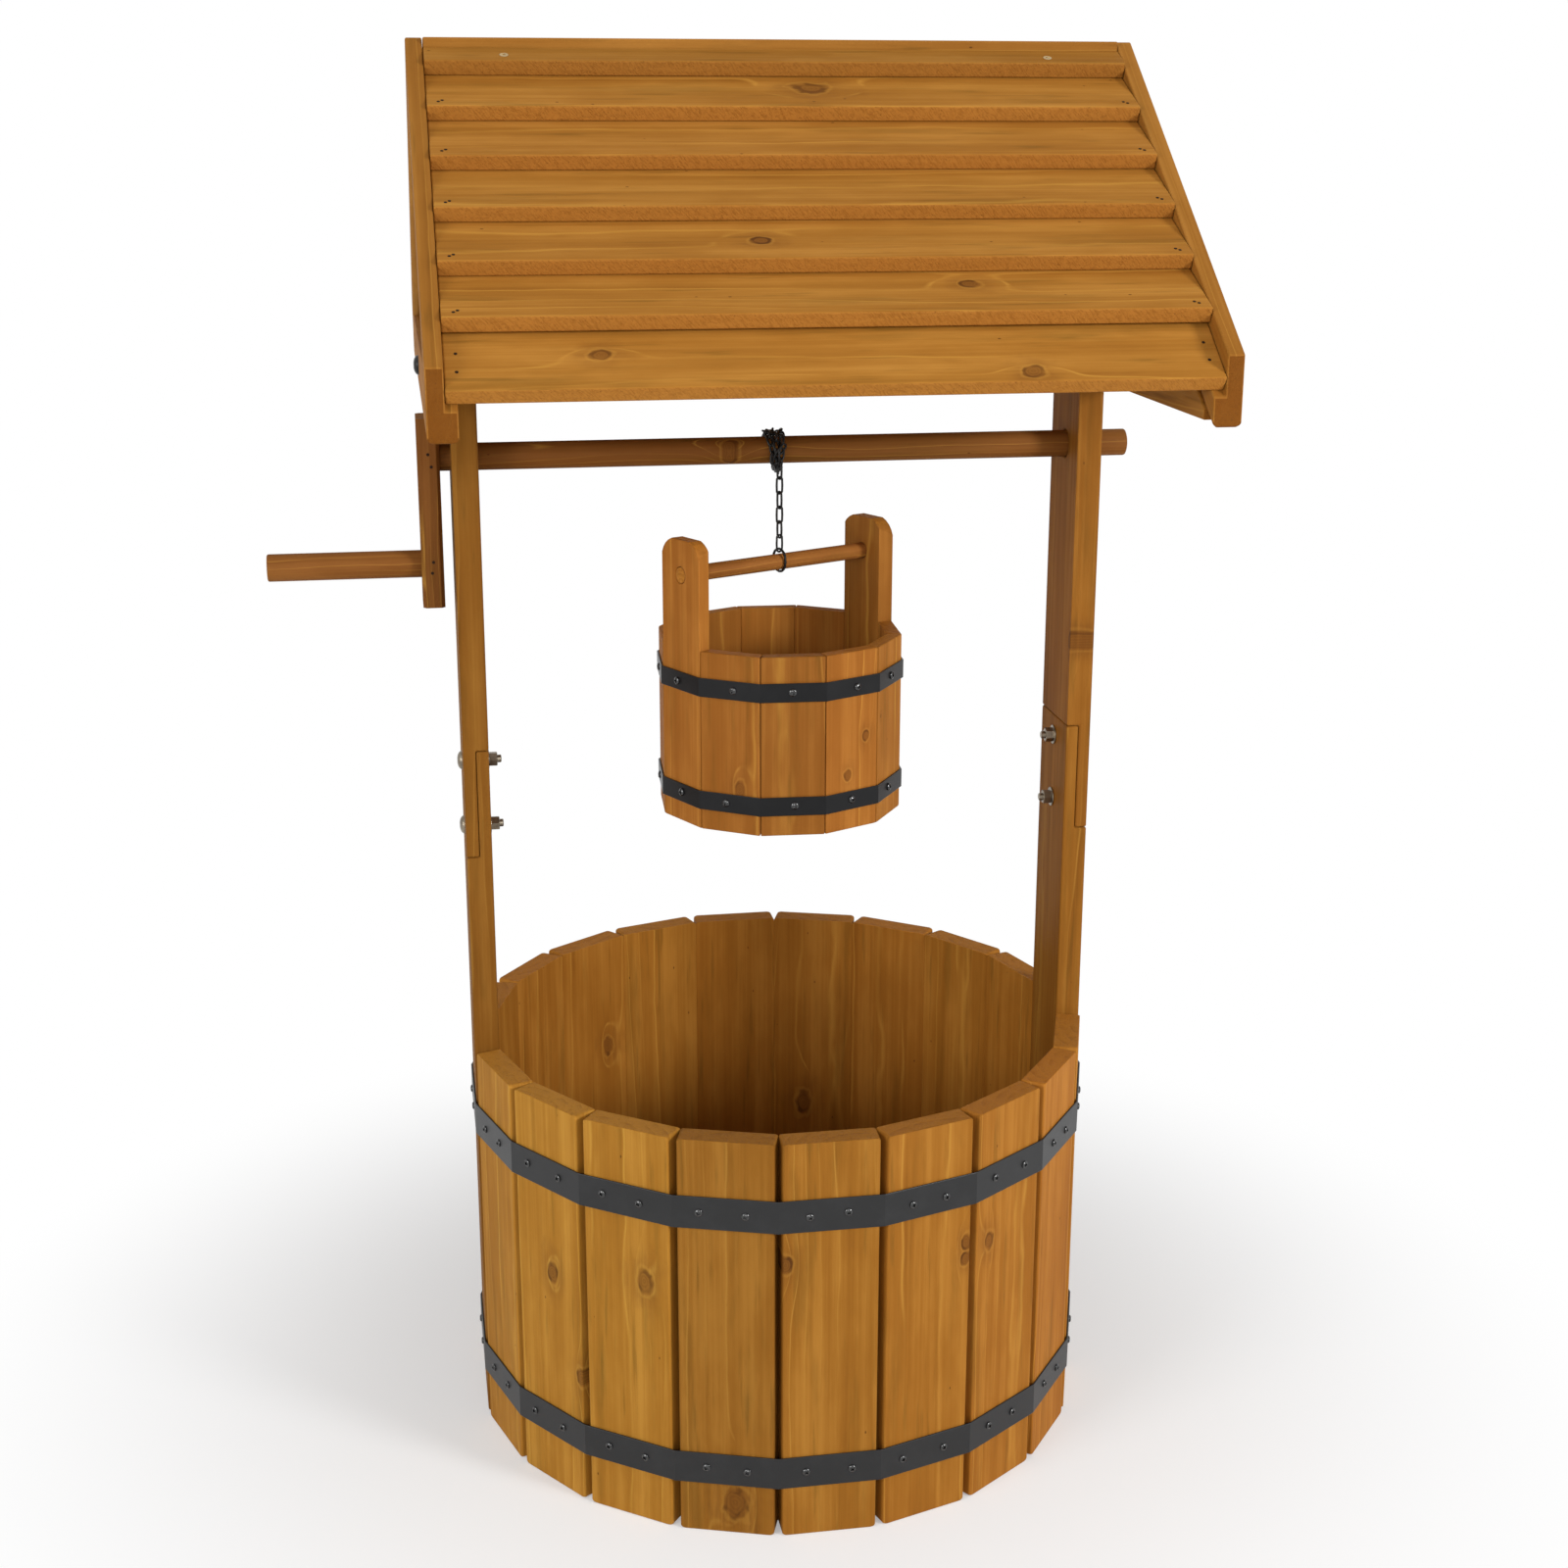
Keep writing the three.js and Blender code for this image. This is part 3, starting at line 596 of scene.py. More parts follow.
def board(node: str, timber: Timber, material: Stain, round_over: float = 0.9 * MM,
          body: Body = Body.PLANTER, shading: Shading = Shading.FLAT, piece: Piece | None = None) -> None:
    """Makes a wooden piece from its node: eased edges, grain and stain.

    Args:
        node: The node that the piece stands for.
        timber: How the piece was cut from its log.
        material: The stain.
        round_over: Width of the eased edges.
        body: What the piece moves with.
        shading: Flat, or smooth for a turned piece.
        piece: The node's copy, where it has been shaped further.
    """
    piece = piece or solid_copy(node, f"{node}_wood")
    ease(piece, round_over)
    shade(piece, shading)
    timber.lay(piece)
    dress(piece, material, body, node)


def turned(direction: Vector, spin: float = 0.0) -> Matrix:
    """A turn that takes +Z to a direction, after a spin about +Z."""
    return direction.to_track_quat("Z", "Y").to_matrix().to_4x4() @ Matrix.Rotation(spin, 4, "Z")


# Fasteners


@dataclass(frozen=True)
class Head:
    """A round or hexagonal head, in millimetres: a blank, steps up its top, a cross recess, an eased edge."""

    radius: float
    height: float
    sides: int
    steps: tuple[tuple[float, float], ...] = ()
    recess: float = 0.0
    edge: float = 0.0
    lift: float = 0.0
    recess_reach: float = 2.2
    recess_middle: float = 0.3
    recess_waist: float = 0.6

    def build(self) -> Piece:
        """Models the head over z = 0."""
        radius, height = self.radius * MM, self.height * MM
        bpy.ops.object.select_all(action="DESELECT")
        bpy.ops.mesh.primitive_cylinder_add(vertices=self.sides, radius=radius, depth=height,
                                            location=(0, 0, height / 2))
        piece = bpy.context.active_object
        bpy.ops.object.transform_apply(location=True, rotation=True, scale=True)
        if self.edge:
            ease(piece, self.edge * MM)
        with editing(piece):
            pick(piece, "FACE", lambda face: face.normal.z > 0.9 and face.center.z > height - HAIR)
            for inset, rise in self.steps:
                bpy.ops.mesh.inset(thickness=inset * MM, depth=0.0)
                bpy.ops.transform.translate(value=(0, 0, rise * MM))
        if self.recess:
            self.sink_cross(piece)
        piece.location.z = self.lift * MM
        return piece

    def sink_cross(self, piece: Piece) -> None:
        """Draws the flat top in between four arms and sinks the cross that they leave."""
        top = max(corner.co.z for corner in piece.data.vertices) - HAIR

        def on_waist(corner: bpy.types.MeshVertex) -> bool:
            """Whether a corner of the top lies between the arms."""
            bearing = round(math.degrees(math.atan2(corner.co.y, corner.co.x)))
            return corner.co.z > top and corner.co.xy.length < self.recess_reach * MM and bearing % 90 != 0

        with editing(piece):
            pick(piece, "VERT", on_waist)
            bpy.ops.transform.resize(value=(self.recess_waist, self.recess_waist, 1.0), center_override=(0, 0, 0))
            middle = self.recess_middle * MM
            pick(piece, "FACE", lambda face: face.center.z > top and face.center.xy.length < middle)
            bpy.ops.mesh.extrude_region_move(TRANSFORM_OT_translate={"value": (0, 0, -self.recess * MM)})


class Fastener(Enum):
    """Kinds of fasteners, each as the heads that it is made of; a nut has its washer and the bolt's end."""

    SCREW = (Head(2.9, 0.7, 12, ((0.45, 0.55), (0.55, 0.3)), recess=1.3), )
    FLAT_SCREW = (Head(3.1, 0.3, 12, ((1.2, 0.0), ), recess=2.2), )
    NAIL = (Head(1.15, 0.15, 10, ((0.3, 0.12), )), )
    BOLT_HEAD = (Head(7, 0.8, 20, ((0.9, 1.3), (1.7, 1.0), (2.0, 0.5))), )
    NUT = (Head(7.5, 1.2, 24, edge=0.3), Head(5.6, 6.0, 6, ((0.5, 0.35), ), lift=1.1),
           Head(3.0, 9.0, 16, ((0.6, 0.5), ), lift=1.0))


@dataclass
class Fasteners:
    """Fasteners of all kinds, each kind modelled once and copied."""

    made: dict[Fastener, Piece] = field(default_factory=dict)

    def set_in(self, kind: Fastener, places: Iterable[tuple[Vector, Vector]], name: str, seed: int) -> Piece:
        """Copies one kind of fastener to its places and joins the copies.

        Args:
            kind: The kind.
            places: Foot and direction of each one.
            name: Name of the joined piece.
            seed: Seed of the heads' spins.

        Returns:
            The joined piece.
        """
        chance = random.Random(seed)
        if kind not in self.made:
            self.made[kind] = join([head.build() for head in kind.value], kind.name)
        copies = []
        for foot, direction in places:
            one = copy_of(self.made[kind], name)
            one.matrix_world = Matrix.Translation(foot) @ turned(direction, chance.uniform(0, math.tau))
            copies.append(one)
        piece = join(copies, name)
        shade(piece, Shading.ROUND)
        return piece

    def clear(self) -> None:
        """Removes the patterns."""
        for pattern in self.made.values():
            bpy.data.objects.remove(pattern)


FASTENERS = Fasteners()


def toward(azimuth: float) -> Vector:
    """The level direction at an azimuth in radians from +X."""
    return Vector((math.cos(azimuth), math.sin(azimuth), 0))


def around(place: float, sides: int, yaw: float = 0.0) -> tuple[Vector, Vector]:
    """Outward and sideways directions at a place on a ring of so many sides."""
    azimuth = yaw + place * math.tau / sides
    return toward(azimuth), toward(azimuth + math.pi / 2)


def mid_height(node: str) -> float:
    """Height of the middle of a node's box."""
    low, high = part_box(node)
    return (low.z + high.z) / 2


def set_bolts(name: str, bolts: Sequence[tuple[int, float]], outer_face: float, steel: Stain, seed: int) -> None:
    """Sets bolts along X, each with a head outside and a washer and a nut inside.

    Args:
        name: Start of the pieces' names.
        bolts: Side, -1 on the left and 1 on the right, and height of each bolt.
        outer_face: Distance of the heads' faces from the middle.
        steel: The heads' steel.
        seed: Seed of the spins.
    """
    for kind, end, face, way, metal in ((Fastener.BOLT_HEAD, "heads", outer_face, 1, steel),
                                        (Fastener.NUT, "nuts", INNER_FACE, -1, ZINC_STEEL)):
        places = [(Vector((side * face, 0, height)), RIGHT * (side * way)) for side, height in bolts]
        dress(FASTENERS.set_in(kind, places, f"{name}_{end}", seed), metal)


@dataclass(frozen=True)
class Hoop:
    """Bands of flat steel round a ring of boards, with screws that aren't set quite evenly."""

    steel: Stain
    body: Body
    edge: float
    sides: int
    yaw: float
    middle: Vector
    face: float
    offsets: tuple[float, ...]
    wander: tuple[float, float]
    seed: int

    def fit(self, node: str, draw: str) -> None:
        """Dresses one band and sets its screws.

        Args:
            node: The band's node.
            draw: Seed of the screws' places.
        """
        piece = solid_copy(node, f"{node}_steel")
        ease(piece, self.edge, 2, 60.0)
        shade(piece, Shading.FLAT)
        dress(piece, self.steel, self.body, node)
        chance = random.Random(draw)
        level, upright = self.wander
        places = []
        for place in range(self.sides):
            out, side = around(place, self.sides, self.yaw)
            for offset in self.offsets:
                foot = self.middle + out * self.face + side * (offset + chance.uniform(-level, level)) * MM
                foot.z = mid_height(node) + chance.uniform(-upright, upright) * MM
                places.append((foot, out))
        screws = FASTENERS.set_in(Fastener.SCREW, places, f"{node}_screws", self.seed)
        dress(screws, SCREW_STEEL, self.body)


@dataclass
class Barrel:
    """The ring of upright boards with its bands, screws and floor."""

    places: int = 20
    post_places: tuple[int, ...] = (0, 10)
    band_face: float = 242.43 * MM
    # Brightness and warmth of some boards. Their brightness is partly each board's own tone and partly painted light
    # and shade for how light falls on each board round the ring.
    tones_and_painted_light: dict[int, tuple[float, float]] = field(default_factory=lambda: {
        11: (1.03, 1.12), 12: (1.05, 1.12), 13: (1.05, 1.13), 14: (0.7, 1.04), 15: (0.8, 1.02), 16: (0.89, 1.0),
        17: (0.93, 0.98), 18: (1.02, 0.93), 19: (0.97, 0.97),
    })
    joint: float = 0.3 * MM
    post_joint: float = 0.42 * MM
    inner_reach: float = 1.0 * MM
    corner_radius: float = 2.2 * MM
    screw_offsets: tuple[float, float] = (-17.5, 14.5)
    screw_wander: tuple[float, float] = (3.0, 1.2)
    knots: dict[int, tuple[Knot, ...]] = field(default_factory=lambda: {
        12: (Knot(21, 4, 6), Knot(-55, 34, 5)),
        13: (Knot(40, 14, 6.5), ),
        14: (Knot(-132, 6, 9), ),
        15: (Knot(64, -33, 6), ),
        16: (Knot(59, 31, 4), Knot(46, 31, 4)),
        17: (Knot(53, -21, 5), ),
        4: (Knot(-20, 8, 8), ),
        7: (Knot(60, -14, 6), Knot(-70, 10, 7)),
    })

    def build(self) -> None:
        """Builds the barrel."""
        for place in range(self.places):
            if place not in self.post_places:
                self.stave(place)
        hoop = Hoop(BAND_STEEL, Body.PLANTER, 0.35 * MM, self.places, 0.0, Vector(), self.band_face,
                    self.screw_offsets, self.screw_wander, seed=7)
        for name in ("lower", "upper"):
            hoop.fit(f"barrel_band_{name}", f"{name} band")
        # The floor's low tone is painted shade.
        floor = Timber(RIGHT, BACK, 131, tone_and_painted_light=0.62)
        board("barrel_floor", floor, BARREL_FIR, 0.6 * MM)

    def stave(self, place: int) -> None:
        """Makes the board at a place, spread at its inner arrises so that the barrel's joints close."""
        out, side = around(place, self.places)
        node = f"barrel_board_{place:02d}"
        piece = solid_copy(node, f"{node}_wood")
        inner = INNER_FACE + self.inner_reach
        with editing(piece):
            for sign in (-1, 1):
                next_to_post = (place + sign) % self.places in self.post_places
                spread = self.post_joint if next_to_post else self.joint
                pick(piece, "VERT", lambda corner: corner.co.dot(out) < inner and sign * corner.co.dot(side) > 0)
                bpy.ops.transform.translate(value=side * sign * spread)
            self.round_corners(piece, out)
        # The tone holds painted light and shade as well as the board's own tone.
        tone_and_painted_light, warmth = self.tones_and_painted_light.get(place, (1.0, 1.0))
        timber = Timber(UP, side, 100 + place, tone_and_painted_light, self.knots.get(place, ()), warmth)
        board(node, timber, BARREL_FIR, 0.5 * MM, piece=piece)

    def round_corners(self, piece: Piece, out: Vector) -> None:
        """Rounds the four corners of a board's face, through its thickness.

        Args:
            piece: The active board, in edit mode.
            out: The direction its face looks.
        """
        def runs_through(edge: bpy.types.MeshEdge) -> bool:
            """Whether an edge runs through the board's thickness, or nearly so as a chamfer's edge does."""
            start, end = (piece.data.vertices[number].co for number in edge.vertices)
            return abs((end - start).normalized().dot(out)) > 0.6

        pick(piece, "EDGE", runs_through)
        bpy.ops.mesh.bevel(offset=self.corner_radius, segments=3)


@dataclass
class Posts:
    """The two lapped posts with their bolts."""

    outer_face: float = 240.93 * MM
    bolt_heights: tuple[float, float] = (537 * MM, 486 * MM)

    def build(self) -> None:
        """Builds the posts."""
        # The posts' low tones are partly their own tone, partly painted shade.
        for side, sign, tone_and_painted_light, knot in (("left", -1, 0.56, Knot(90, 12, 6)), ("right", 1, 0.69, Knot(-130, -35, 5))):
            for level, seed, own in (("lower", 40, ()), ("upper", 44, (knot, ))):
                timber = Timber(UP, BACK, seed + sign, tone_and_painted_light, own)
                board(f"post_{level}_{side}", timber, BARREL_FIR, 1.5 * MM)
        bolts = [(side, height) for side in (-1, 1) for height in self.bolt_heights]
        set_bolts("lap_bolt", bolts, self.outer_face, ZINC_STEEL, seed=3)


@dataclass
class Roof:
    """Rafters, gable ties and lapped boards with their nails."""

    nail_inset: float = 8.0 * MM
    nail_shares: tuple[tuple[float, float], ...] = ((0.0, 0.1), (2.6 * MM, 0.13))
    eave_nail_shares: tuple[tuple[float, float], ...] = ((0.0, 0.28), (0.0, 0.55))
    cap_screws: tuple[float, float] = (-194 * MM, 193 * MM)
    cap_screw_share: float = 0.4
    brass: list[tuple[Vector, Vector]] = field(default_factory=list)
    tie_face: float = 260.83 * MM
    pitch: float = math.radians(36.6)
    rafter_cut: float = 3.0 * MM
    knots: dict[str, tuple[Knot, ...]] = field(default_factory=lambda: {
        "roof_eave_board_front": (Knot(-151, 0, 5), Knot(122, -21, 5)),
        "roof_board_front_2": (Knot(-39, -8, 5), ),
        "roof_board_front_1": (Knot(93, 3, 5), ),
        "roof_board_front_5": (Knot(17, -3, 8), ),
        "roof_board_rear_3": (Knot(90, 2, 7), ),
        "roof_board_rear_1": (Knot(-140, -4, 6), ),
        "roof_eave_board_rear": (Knot(60, 5, 8), ),
    })

    def build(self) -> None:
        """Builds the roof."""
        nails = []
        for sign, slope in ((-1, "front"), (1, "rear")):
            laps = [f"roof_board_{slope}_{number}" for number in range(1, 6)]
            for number, node in enumerate([f"roof_eave_board_{slope}", *laps, f"ridge_cap_{slope}"]):
                nails.extend(self.course(node, 200 + 20 * (sign + 1) + number))
            for side, out in (("left", -1), ("right", 1)):
                self.rafter(side, slope, out, sign)
        dress(FASTENERS.set_in(Fastener.NAIL, nails, "roof_nails", seed=5), NAIL_STEEL)
        screws = FASTENERS.set_in(Fastener.FLAT_SCREW, self.brass, "cap_screws", seed=11)
        dress(screws, BRASS_STEEL)
        self.ties()

    def course(self, node: str, seed: int) -> list[tuple[Vector, Vector]]:
        """Dresses one board and says where its nails go.

        Args:
            node: The board's node.
            seed: Seed of its grain.

        Returns:
            Foot and direction of each nail.
        """
        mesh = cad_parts[node].data
        top = max((face for face in mesh.polygons if face.normal.z > 0.5), key=lambda face: face.area)
        normal = top.normal.copy()
        level_faces = [face for face in mesh.polygons if face.normal.dot(normal) > 0.999]
        corners = [mesh.vertices[number].co for face in level_faces for number in face.vertices]
        low = min(corners, key=lambda co: co.z)
        high = max(corners, key=lambda co: co.z)
        end = max(abs(co.x) for co in corners) - self.nail_inset
        across = normal.cross(RIGHT)
        is_cap = node.startswith("ridge")
        timber = Timber(RIGHT, across, seed, 0.82 if is_cap else 1.0, self.knots.get(node, ()), rough_below=True)
        board(node, timber, ROOF_FIR, 1.1 * MM)

        def fastened(x: float, share: float) -> tuple[Vector, Vector]:
            """Foot and direction of a fastener at a share of the way up the board."""
            foot = low.lerp(high, share)
            return Vector((x, foot.y, foot.z)), normal

        if is_cap:
            self.brass.extend(fastened(x, self.cap_screw_share) for x in self.cap_screws)
            return []
        shares = self.eave_nail_shares if "eave" in node else self.nail_shares
        return [fastened(sign * (end - inward), share) for sign in (-1, 1) for inward, share in shares]

    def rafter(self, side: str, slope: str, out: int, sign: int) -> None:
        """Dresses one rafter and takes off the long arrises of its underside."""
        along = Vector((0, sign * math.cos(self.pitch), -math.sin(self.pitch)))
        timber = Timber(along, RIGHT.cross(along), 300 + 2 * out + sign, tone_and_painted_light=0.81, knots=(Knot(-60, 8, 5), ))
        node = f"rafter_{side}_{slope}"
        piece = solid_copy(node, f"{node}_wood")
        under = RIGHT.cross(along) * -sign
        for face in (-1, 1):
            normal = (RIGHT * face + under).normalized()
            reach = max(corner.co.dot(normal) for corner in piece.data.vertices)
            cut_away(piece, normal * (reach - self.rafter_cut), normal)
        board(node, timber, ROOF_FIR, piece=piece)

    def ties(self) -> None:
        """Dresses the gable ties and sets their bolts."""
        bolts = []
        for side, out in (("left", -1), ("right", 1)):
            node = f"gable_tie_{side}"
            # The ties' low tone is painted shade.
            timber = Timber(BACK, UP, 330 + out, 0.8, (Knot(110, 4, 6), ))
            board(node, timber, ROOF_FIR)
            bolts.append((out, mid_height(node)))
        set_bolts("tie_bolt", bolts, self.tie_face, CHAIN_STEEL, seed=9)


@dataclass
class Windlass:
    """The axle, the crank arm and its handle."""

    dowel_pith: tuple[float, float] = (4.0, 16.0)
    arm_nails: tuple[tuple[float, float], ...] = ((-0.3, 4.5), (1.8, -4.5), (-0.5, -82.0), (0.6, -74.0))

    def build(self) -> None:
        """Builds the windlass."""
        axle = Timber(RIGHT, BACK, 400, 0.77, (Knot(-39, -9, 3.5), ), pith_depth=self.dowel_pith)
        handle = Timber(RIGHT, BACK, 401, 0.79, pith_depth=self.dowel_pith)
        for node, timber in (("windlass_axle", axle), ("crank_handle", handle)):
            board(node, timber, DOWEL_FIR, 1.2 * MM, Body.WINDLASS, Shading.ROUND)
        arm = Timber(UP, BACK, 402, 0.7, pith_depth=(20.0, 30.0))
        board("crank_arm", arm, DOWEL_FIR, 1.0 * MM, Body.WINDLASS)
        low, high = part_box("crank_arm")
        axis = mid_height("windlass_axle")
        middle = (low.x + high.x) / 2
        nails = [(Vector((middle + across * MM, low.y, axis + up * MM)), -BACK) for across, up in self.arm_nails]
        heads = FASTENERS.set_in(Fastener.NAIL, nails, "crank_nails", seed=6)
        dress(heads, NAIL_STEEL, Body.WINDLASS)


@dataclass
class Chain:
    """The small steel chain: wound on the axle, hanging, and looped round the bucket's handle."""

    wire: float = 1.7 * MM
    end_wire: float = 1.6 * MM
    loop_wire: float = 1.95 * MM
    node_wire: float = 1.8 * MM
    inner_width: float = 3.5 * MM
    loop_width: float = 13.2 * MM
    wound_width: float = 3.0 * MM
    wound_bends: float = 8.4 * MM
    upright_start: float = 4.9 * MM
    line_y: float = -13.4 * MM
    yaw: float = math.radians(27)
    hanging_links: int = 5
    winding_radius: float = 13.3 * MM
    winding_swings: tuple[float, ...] = (-8.0 * MM, -3.0 * MM, 2.5 * MM)
    winding_build_up: float = 1.1 * MM
    leans: tuple[float, float] = (-63.0, 27.0)
    sway: float = 14.0

    def link(self, inner_width: float, wire: float, bends: float) -> Piece:
        """One upright link, its middle at the origin and its plane across Y.

        Args:
            inner_width: Width inside the link.
            wire: Thickness of its wire.
            bends: Height between the middles of its two bends.

        Returns:
            The link.
        """
        bpy.ops.object.select_all(action="DESELECT")
        bpy.ops.mesh.primitive_torus_add(major_segments=16, minor_segments=8, major_radius=(inner_width + wire) / 2,
                                         minor_radius=wire / 2)
        piece = bpy.context.active_object
        stretch = bends - (inner_width + wire)
        with editing(piece):
            for sign in (-1, 1):
                pick(piece, "VERT", lambda corner: sign * corner.co.y > 0.01 * HAIR)
                bpy.ops.transform.translate(value=(0, sign * stretch / 2, 0))
        piece.data.transform(Matrix.Rotation(math.pi / 2, 4, "X"))
        shade(piece, Shading.ROUND)
        return piece

    def build(self) -> None:
        """Builds the chain."""
        self.hanging()
        self.wound()

    def stand(self, link: Piece, height: float, crosswise: bool) -> Piece:
        """Stands a link on the chain's line, turned by its yaw and by a quarter more if it is crosswise."""
        turn = Matrix.Rotation(self.yaw + (math.pi / 2 if crosswise else 0.0), 4, "Z")
        link.matrix_world = Matrix.Translation((0, self.line_y, height)) @ turn
        return link

    def hanging(self) -> None:
        """Hangs the links, the last link and the loop."""
        for node, body, width, wire in (("chain_loop", Body.LOOP, self.loop_width, self.loop_wire),
                                        ("chain_end_link", Body.CHAIN_END, self.inner_width, self.end_wire)):
            low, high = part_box(node)
            one = self.link(width, wire, high.z - low.z - wire)
            piece = join([self.stand(one, mid_height(node), body is Body.LOOP)], f"{node}_steel")
            dress(piece, CHAIN_STEEL, body, node)
        low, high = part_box("chain_hanging")
        end_low, end_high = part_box("chain_end_link")
        spacing = end_high.z - end_low.z - self.node_wire
        bottom = low.z + (self.node_wire - self.wire) / 2
        step = (high.z - low.z - self.node_wire - spacing) / (self.hanging_links - 1)
        pattern = self.link(self.inner_width, self.wire, spacing)
        links = []
        for number in range(self.hanging_links):
            middle = bottom + (spacing + self.wire) / 2 + number * step
            links.append(self.stand(copy_of(pattern, "hanging_link"), middle, number % 2 == 0))
        bpy.data.objects.remove(pattern)
        piece = join(links, "chain_hanging_links")
        piece.data.materials.append(CHAIN_STEEL)
        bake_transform(piece)
        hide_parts("chain_hanging")
        LOG.info("%s: %d faces, stretches with the lift", piece.name, len(piece.data.polygons))

    def winding_place(self, run: float) -> Vector:
        """A point of the wound chain's middle line.

        Each turn swings out to its own side over the axle and comes back below it, where the chain hangs down.

        Args:
            run: Turns of the axle from the chain's first touch; less than 0 on the upright part below it.

        Returns:
            The point, with the axle's middle at z = 0.
        """
        angle = max(run, 0.0) * math.tau
        turn = min(int(max(run, 0.0)), len(self.winding_swings) - 1)
        rise = (1 + math.sin(angle)) / 2
        reach = self.winding_radius + turn * self.winding_build_up * (1 - rise)
        swing = self.winding_swings[turn] * rise ** 0.8
        upright = min(run, 0.0) * math.tau * self.winding_radius
        return Vector((swing, -reach * math.cos(angle), reach * math.sin(angle) + upright))

    def wound(self) -> None:
        """Winds links round the axle, bunched as a chain wound by hand is."""
        axis = Vector((0, 0, mid_height("windlass_axle")))
        pattern = self.link(self.wound_width, self.wire, self.wound_bends)
        girth = math.tau * self.winding_radius
        step = (self.wound_bends - self.wire) / girth
        chance = random.Random(21)
        links = []
        run = -self.upright_start / girth
        while run < len(self.winding_swings):
            place = self.winding_place(run)
            tangent = (self.winding_place(run + step / 3) - self.winding_place(run - step / 3)).normalized()
            outward = Vector((0, place.y, place.z)) if run > 0 else -BACK
            side = tangent.cross(outward).normalized()
            outward = side.cross(tangent)
            sway = chance.uniform(-self.sway, self.sway) * min(len(links), 1)
            lean = math.radians(self.leans[len(links) % 2] + sway)
            width = outward * math.cos(lean) + side * math.sin(lean)
            one = copy_of(pattern, "wound_link")
            turn = Matrix((width, tangent.cross(width), tangent)).transposed().to_4x4()
            one.matrix_world = Matrix.Translation(axis + place) @ turn
            links.append(one)
            run += step
        bpy.data.objects.remove(pattern)
        piece = join(links, "chain_wound_links")
        dress(piece, CHAIN_STEEL, Body.WINDLASS, "chain_wound")


@dataclass
class Bucket:
    """The coopered bucket: staves, floor, handle, bands and screws."""

    sides: int = 12
    yaw: float = math.radians(27)
    centre: Vector = field(default_factory=lambda: Vector((0, -13.4 * MM, 0)))
    band_face: float = 91.33 * MM
    screw_wander: tuple[float, float] = (4.0, 0.6)
    closed_radius: float = 80.0 * MM
    seam_lean: float = 0.025
    # Tones of some staves: partly each stave's own tone, partly painted light and shade.
    tones_and_painted_light: dict[int, float] = field(default_factory=lambda: {
        0: 0.92, 6: 1.12, 7: 0.93, 8: 0.8, 9: 1.06, 10: 1.04, 11: 0.92,
    })
    knots: dict[int, tuple[Knot, ...]] = field(default_factory=lambda: {
        7: (Knot(-33, 8, 4.5), ),
        9: (Knot(2, 12, 3), Knot(-26, -4, 3)),
        10: (Knot(14, -17, 1.2), ),
        2: (Knot(-30, 6, 5), ),
        4: (Knot(20, -8, 4), ),
    })

    def build(self) -> None:
        """Builds the bucket."""
        for side, place in (("right", 0), ("left", 6)):
            board(f"bucket_tall_stave_{side}", self.timber(place), BUCKET_FIR, body=Body.BUCKET)
        self.low_staves("rear", range(1, 6))
        self.low_staves("front", range(7, 12))
        # The bucket floor's low tone is painted shade.
        board("bucket_floor", Timber(RIGHT, BACK, 531, tone_and_painted_light=0.7), BUCKET_FIR, 0.5 * MM, Body.BUCKET)
        handle = Timber(*self.facing(0), 532, tone_and_painted_light=1.15, pith_depth=(4.0, 12.0))
        board("bucket_handle", handle, DOWEL_FIR, 0.8 * MM, Body.BUCKET, Shading.ROUND)
        hoop = Hoop(BUCKET_STEEL, Body.BUCKET, 0.25 * MM, self.sides, self.yaw, self.centre, self.band_face,
                    (0.0, ), self.screw_wander, seed=8)
        for name in ("lower", "upper"):
            hoop.fit(f"bucket_band_{name}", f"{name} bucket band")

    def facing(self, place: float) -> tuple[Vector, Vector]:
        """Outward and sideways directions at a place on the bucket's ring."""
        return around(place, self.sides, self.yaw)

    def timber(self, place: int) -> Timber:
        """How the stave at a place was cut."""
        tone_and_painted_light, knots = self.tones_and_painted_light.get(place, 1.0), self.knots.get(place, ())
        return Timber(UP, self.facing(place)[1], 500 + place, tone_and_painted_light, knots)

    def low_staves(self, group: str, places: Iterable[int]) -> None:
        """Parts a group's node into its staves, with seams that are open outside and closed inside."""
        node = f"bucket_staves_{group}"
        for place in places:
            piece = solid_copy(node, f"bucket_stave_{place:02d}")
            for sign in (-1, 1):
                out, side = self.facing(place + sign / 2)
                normal = (side * sign + out * self.seam_lean).normalized()
                cut_away(piece, self.centre + out * self.closed_radius, normal)
            ease(piece, 0.8 * MM)
            shade(piece, Shading.FLAT)
            self.timber(place).lay(piece)
            dress(piece, BUCKET_FIR, Body.BUCKET, node)


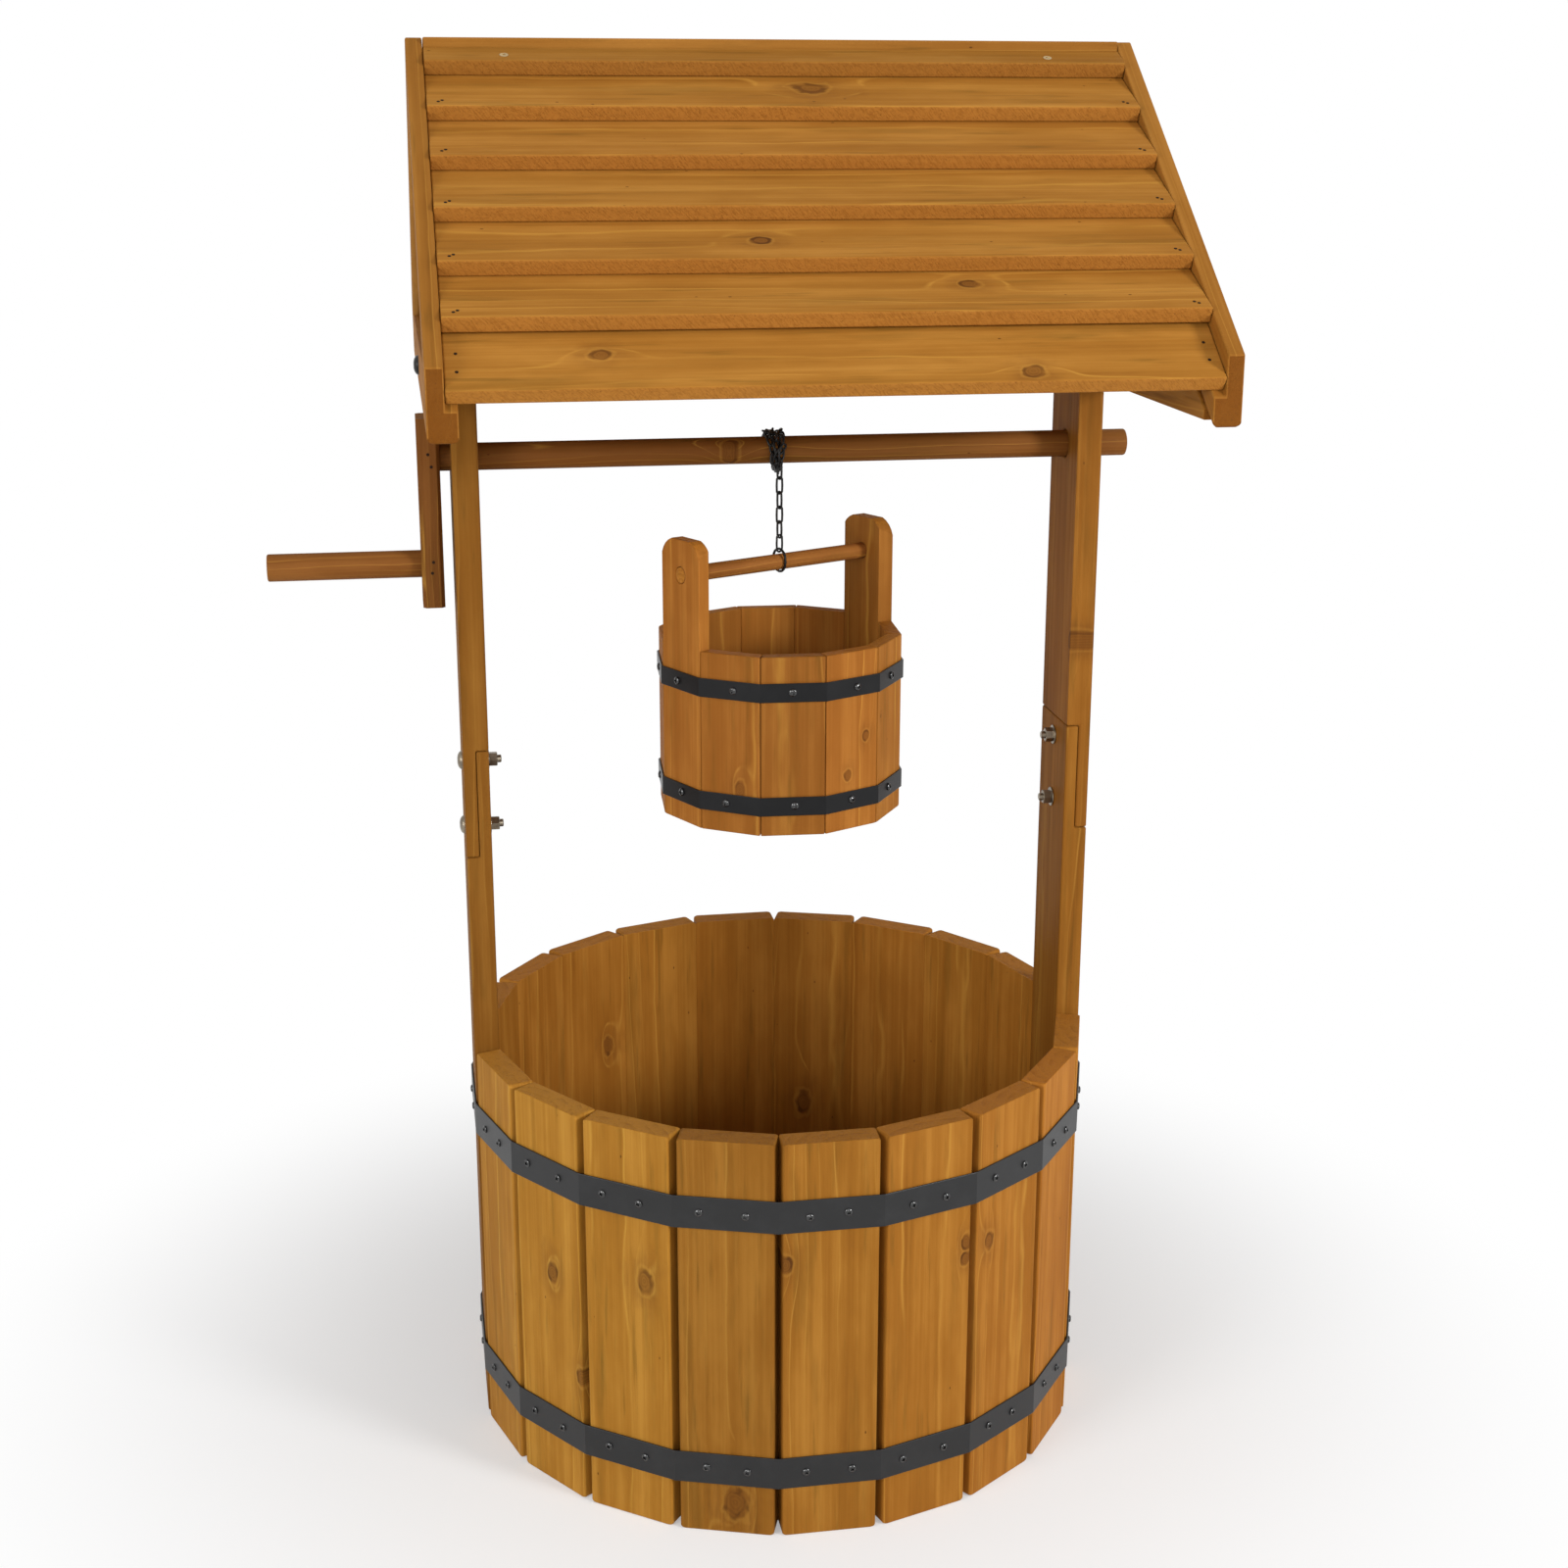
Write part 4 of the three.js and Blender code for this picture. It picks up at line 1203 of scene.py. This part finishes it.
@dataclass
class Studio:
    """A pale floor, soft light and the camera."""

    camera_place: tuple[float, float, float] = (-0.2805, -1.6822, 1.0104)
    yaw: float = math.radians(9.67)
    pitch: float = math.radians(16.457)
    roll: float = math.radians(0.112)
    focal_share: float = 2334.4 / 1600
    sensor: float = 36.0
    white: Colour = (1.0, 1.0, 1.0)
    world_level: float = 0.32
    floor_radius: float = 6.0
    floor_drop: float = 0.3 * MM
    floor_fade: tuple[float, float, float, float] = (0.26, 0.75, 0.3, 1.0)
    lit_point: tuple[float, float, float] = (0.0, 0.0, 0.5)
    lamps: tuple[tuple[str, tuple[float, float, float], float, float], ...] = (
        ("key_lamp", (2.3, -2.2, 1.5), 0.8, 65.0),
        ("fill_lamp", (-2.5, -1.9, 1.4), 1.4, 40.0),
        ("front_lamp", (-0.5, -3.1, 1.5), 0.6, 19.0),
        ("top_lamp", (-0.3, -0.6, 3.2), 2.2, 12.0),
    )

    def build(self) -> None:
        """Builds the studio."""
        bpy.context.scene.view_settings.view_transform = "Standard"
        self.world()
        self.floor()
        for lamp in self.lamps:
            self.lamp(*lamp)
        self.camera()

    def seen_share(self, g: Graph) -> Socket:
        """1 where a camera, mirror or glass ray looks, otherwise 0."""
        path = g.add("ShaderNodeLightPath").outputs
        seen = g.math("MAXIMUM", path["Is Camera Ray"], path["Is Glossy Ray"])
        return g.math("MAXIMUM", seen, path["Is Transmission Ray"])

    def world(self) -> None:
        """A plain white surround, with a level of light of its own."""
        world = bpy.data.worlds.new("studio_world")
        bpy.context.scene.world = world
        g = Graph(world)
        level = g.span(self.seen_share(g), 0.0, 1.0, self.world_level, 1.0)
        background = g.add("ShaderNodeBackground", {"Color": self.white, "Strength": level})
        g.add("ShaderNodeOutputWorld", {"Surface": background.outputs[0]})

    def floor(self) -> None:
        """A wide pale floor that fades to white away from the planter."""
        bpy.ops.object.select_all(action="DESELECT")
        bpy.ops.mesh.primitive_circle_add(vertices=96, radius=self.floor_radius, fill_type="NGON",
                                          location=(0, 0, -self.floor_drop))
        floor = named(bpy.context.active_object, "studio_floor")
        g = Graph(bpy.data.materials.new("studio_floor"))
        place = g.add("ShaderNodeTexCoord").outputs["Object"]
        away = g.add("ShaderNodeVectorMath", {0: place}, operation="LENGTH").outputs["Value"]
        share = g.times(g.span(away, *self.floor_fade), self.seen_share(g))
        matt = g.add("ShaderNodeBsdfPrincipled", {"Base Color": (0.93, 0.93, 0.93), "Roughness": 0.9})
        glow = g.add("ShaderNodeEmission", {"Color": self.white, "Strength": 1.0})
        mixed = g.add("ShaderNodeMixShader", {0: share, 1: matt.outputs[0], 2: glow.outputs[0]})
        floor.data.materials.append(g.finish(mixed.outputs[0]))

    def lamp(self, name: str, place: tuple[float, float, float], size: float, watts: float) -> None:
        """Adds a large soft lamp that looks at the planter's middle."""
        data = bpy.data.lights.new(name, "AREA")
        data.shape = "DISK"
        data.size = size
        data.energy = watts
        turn = turned(Vector(place) - Vector(self.lit_point))
        placed(name, data).matrix_world = Matrix.Translation(place) @ turn

    def camera(self) -> None:
        """Puts the camera at the photograph's place."""
        data = bpy.data.cameras.new("photo_camera")
        data.sensor_fit = "HORIZONTAL"
        data.sensor_width = self.sensor
        data.lens = self.focal_share * self.sensor
        data.clip_start = 0.05
        camera = placed("photo_camera", data)
        turn = Matrix.Rotation(-self.yaw, 4, "Z") @ Matrix.Rotation(math.pi / 2 - self.pitch, 4, "X")
        camera.matrix_world = Matrix.Translation(self.camera_place) @ turn @ Matrix.Rotation(self.roll, 4, "Z")
        bpy.context.scene.camera = camera


def corners(box: tuple[Vector, Vector]) -> list[list[float]]:
    """A box as plain lists of numbers."""
    return [[float(value) for value in corner] for corner in box]


def main() -> None:
    """Builds the planter and its studio."""
    logging.basicConfig(level=logging.INFO, format="%(message)s")
    for assembly in (Barrel(), Posts(), Roof(), Windlass(), Chain(), Bucket()):
        LOG.info("%s", type(assembly).__name__)
        assembly.build()
    FASTENERS.clear()
    Studio().build()


if __name__ == "__main__":
    main()
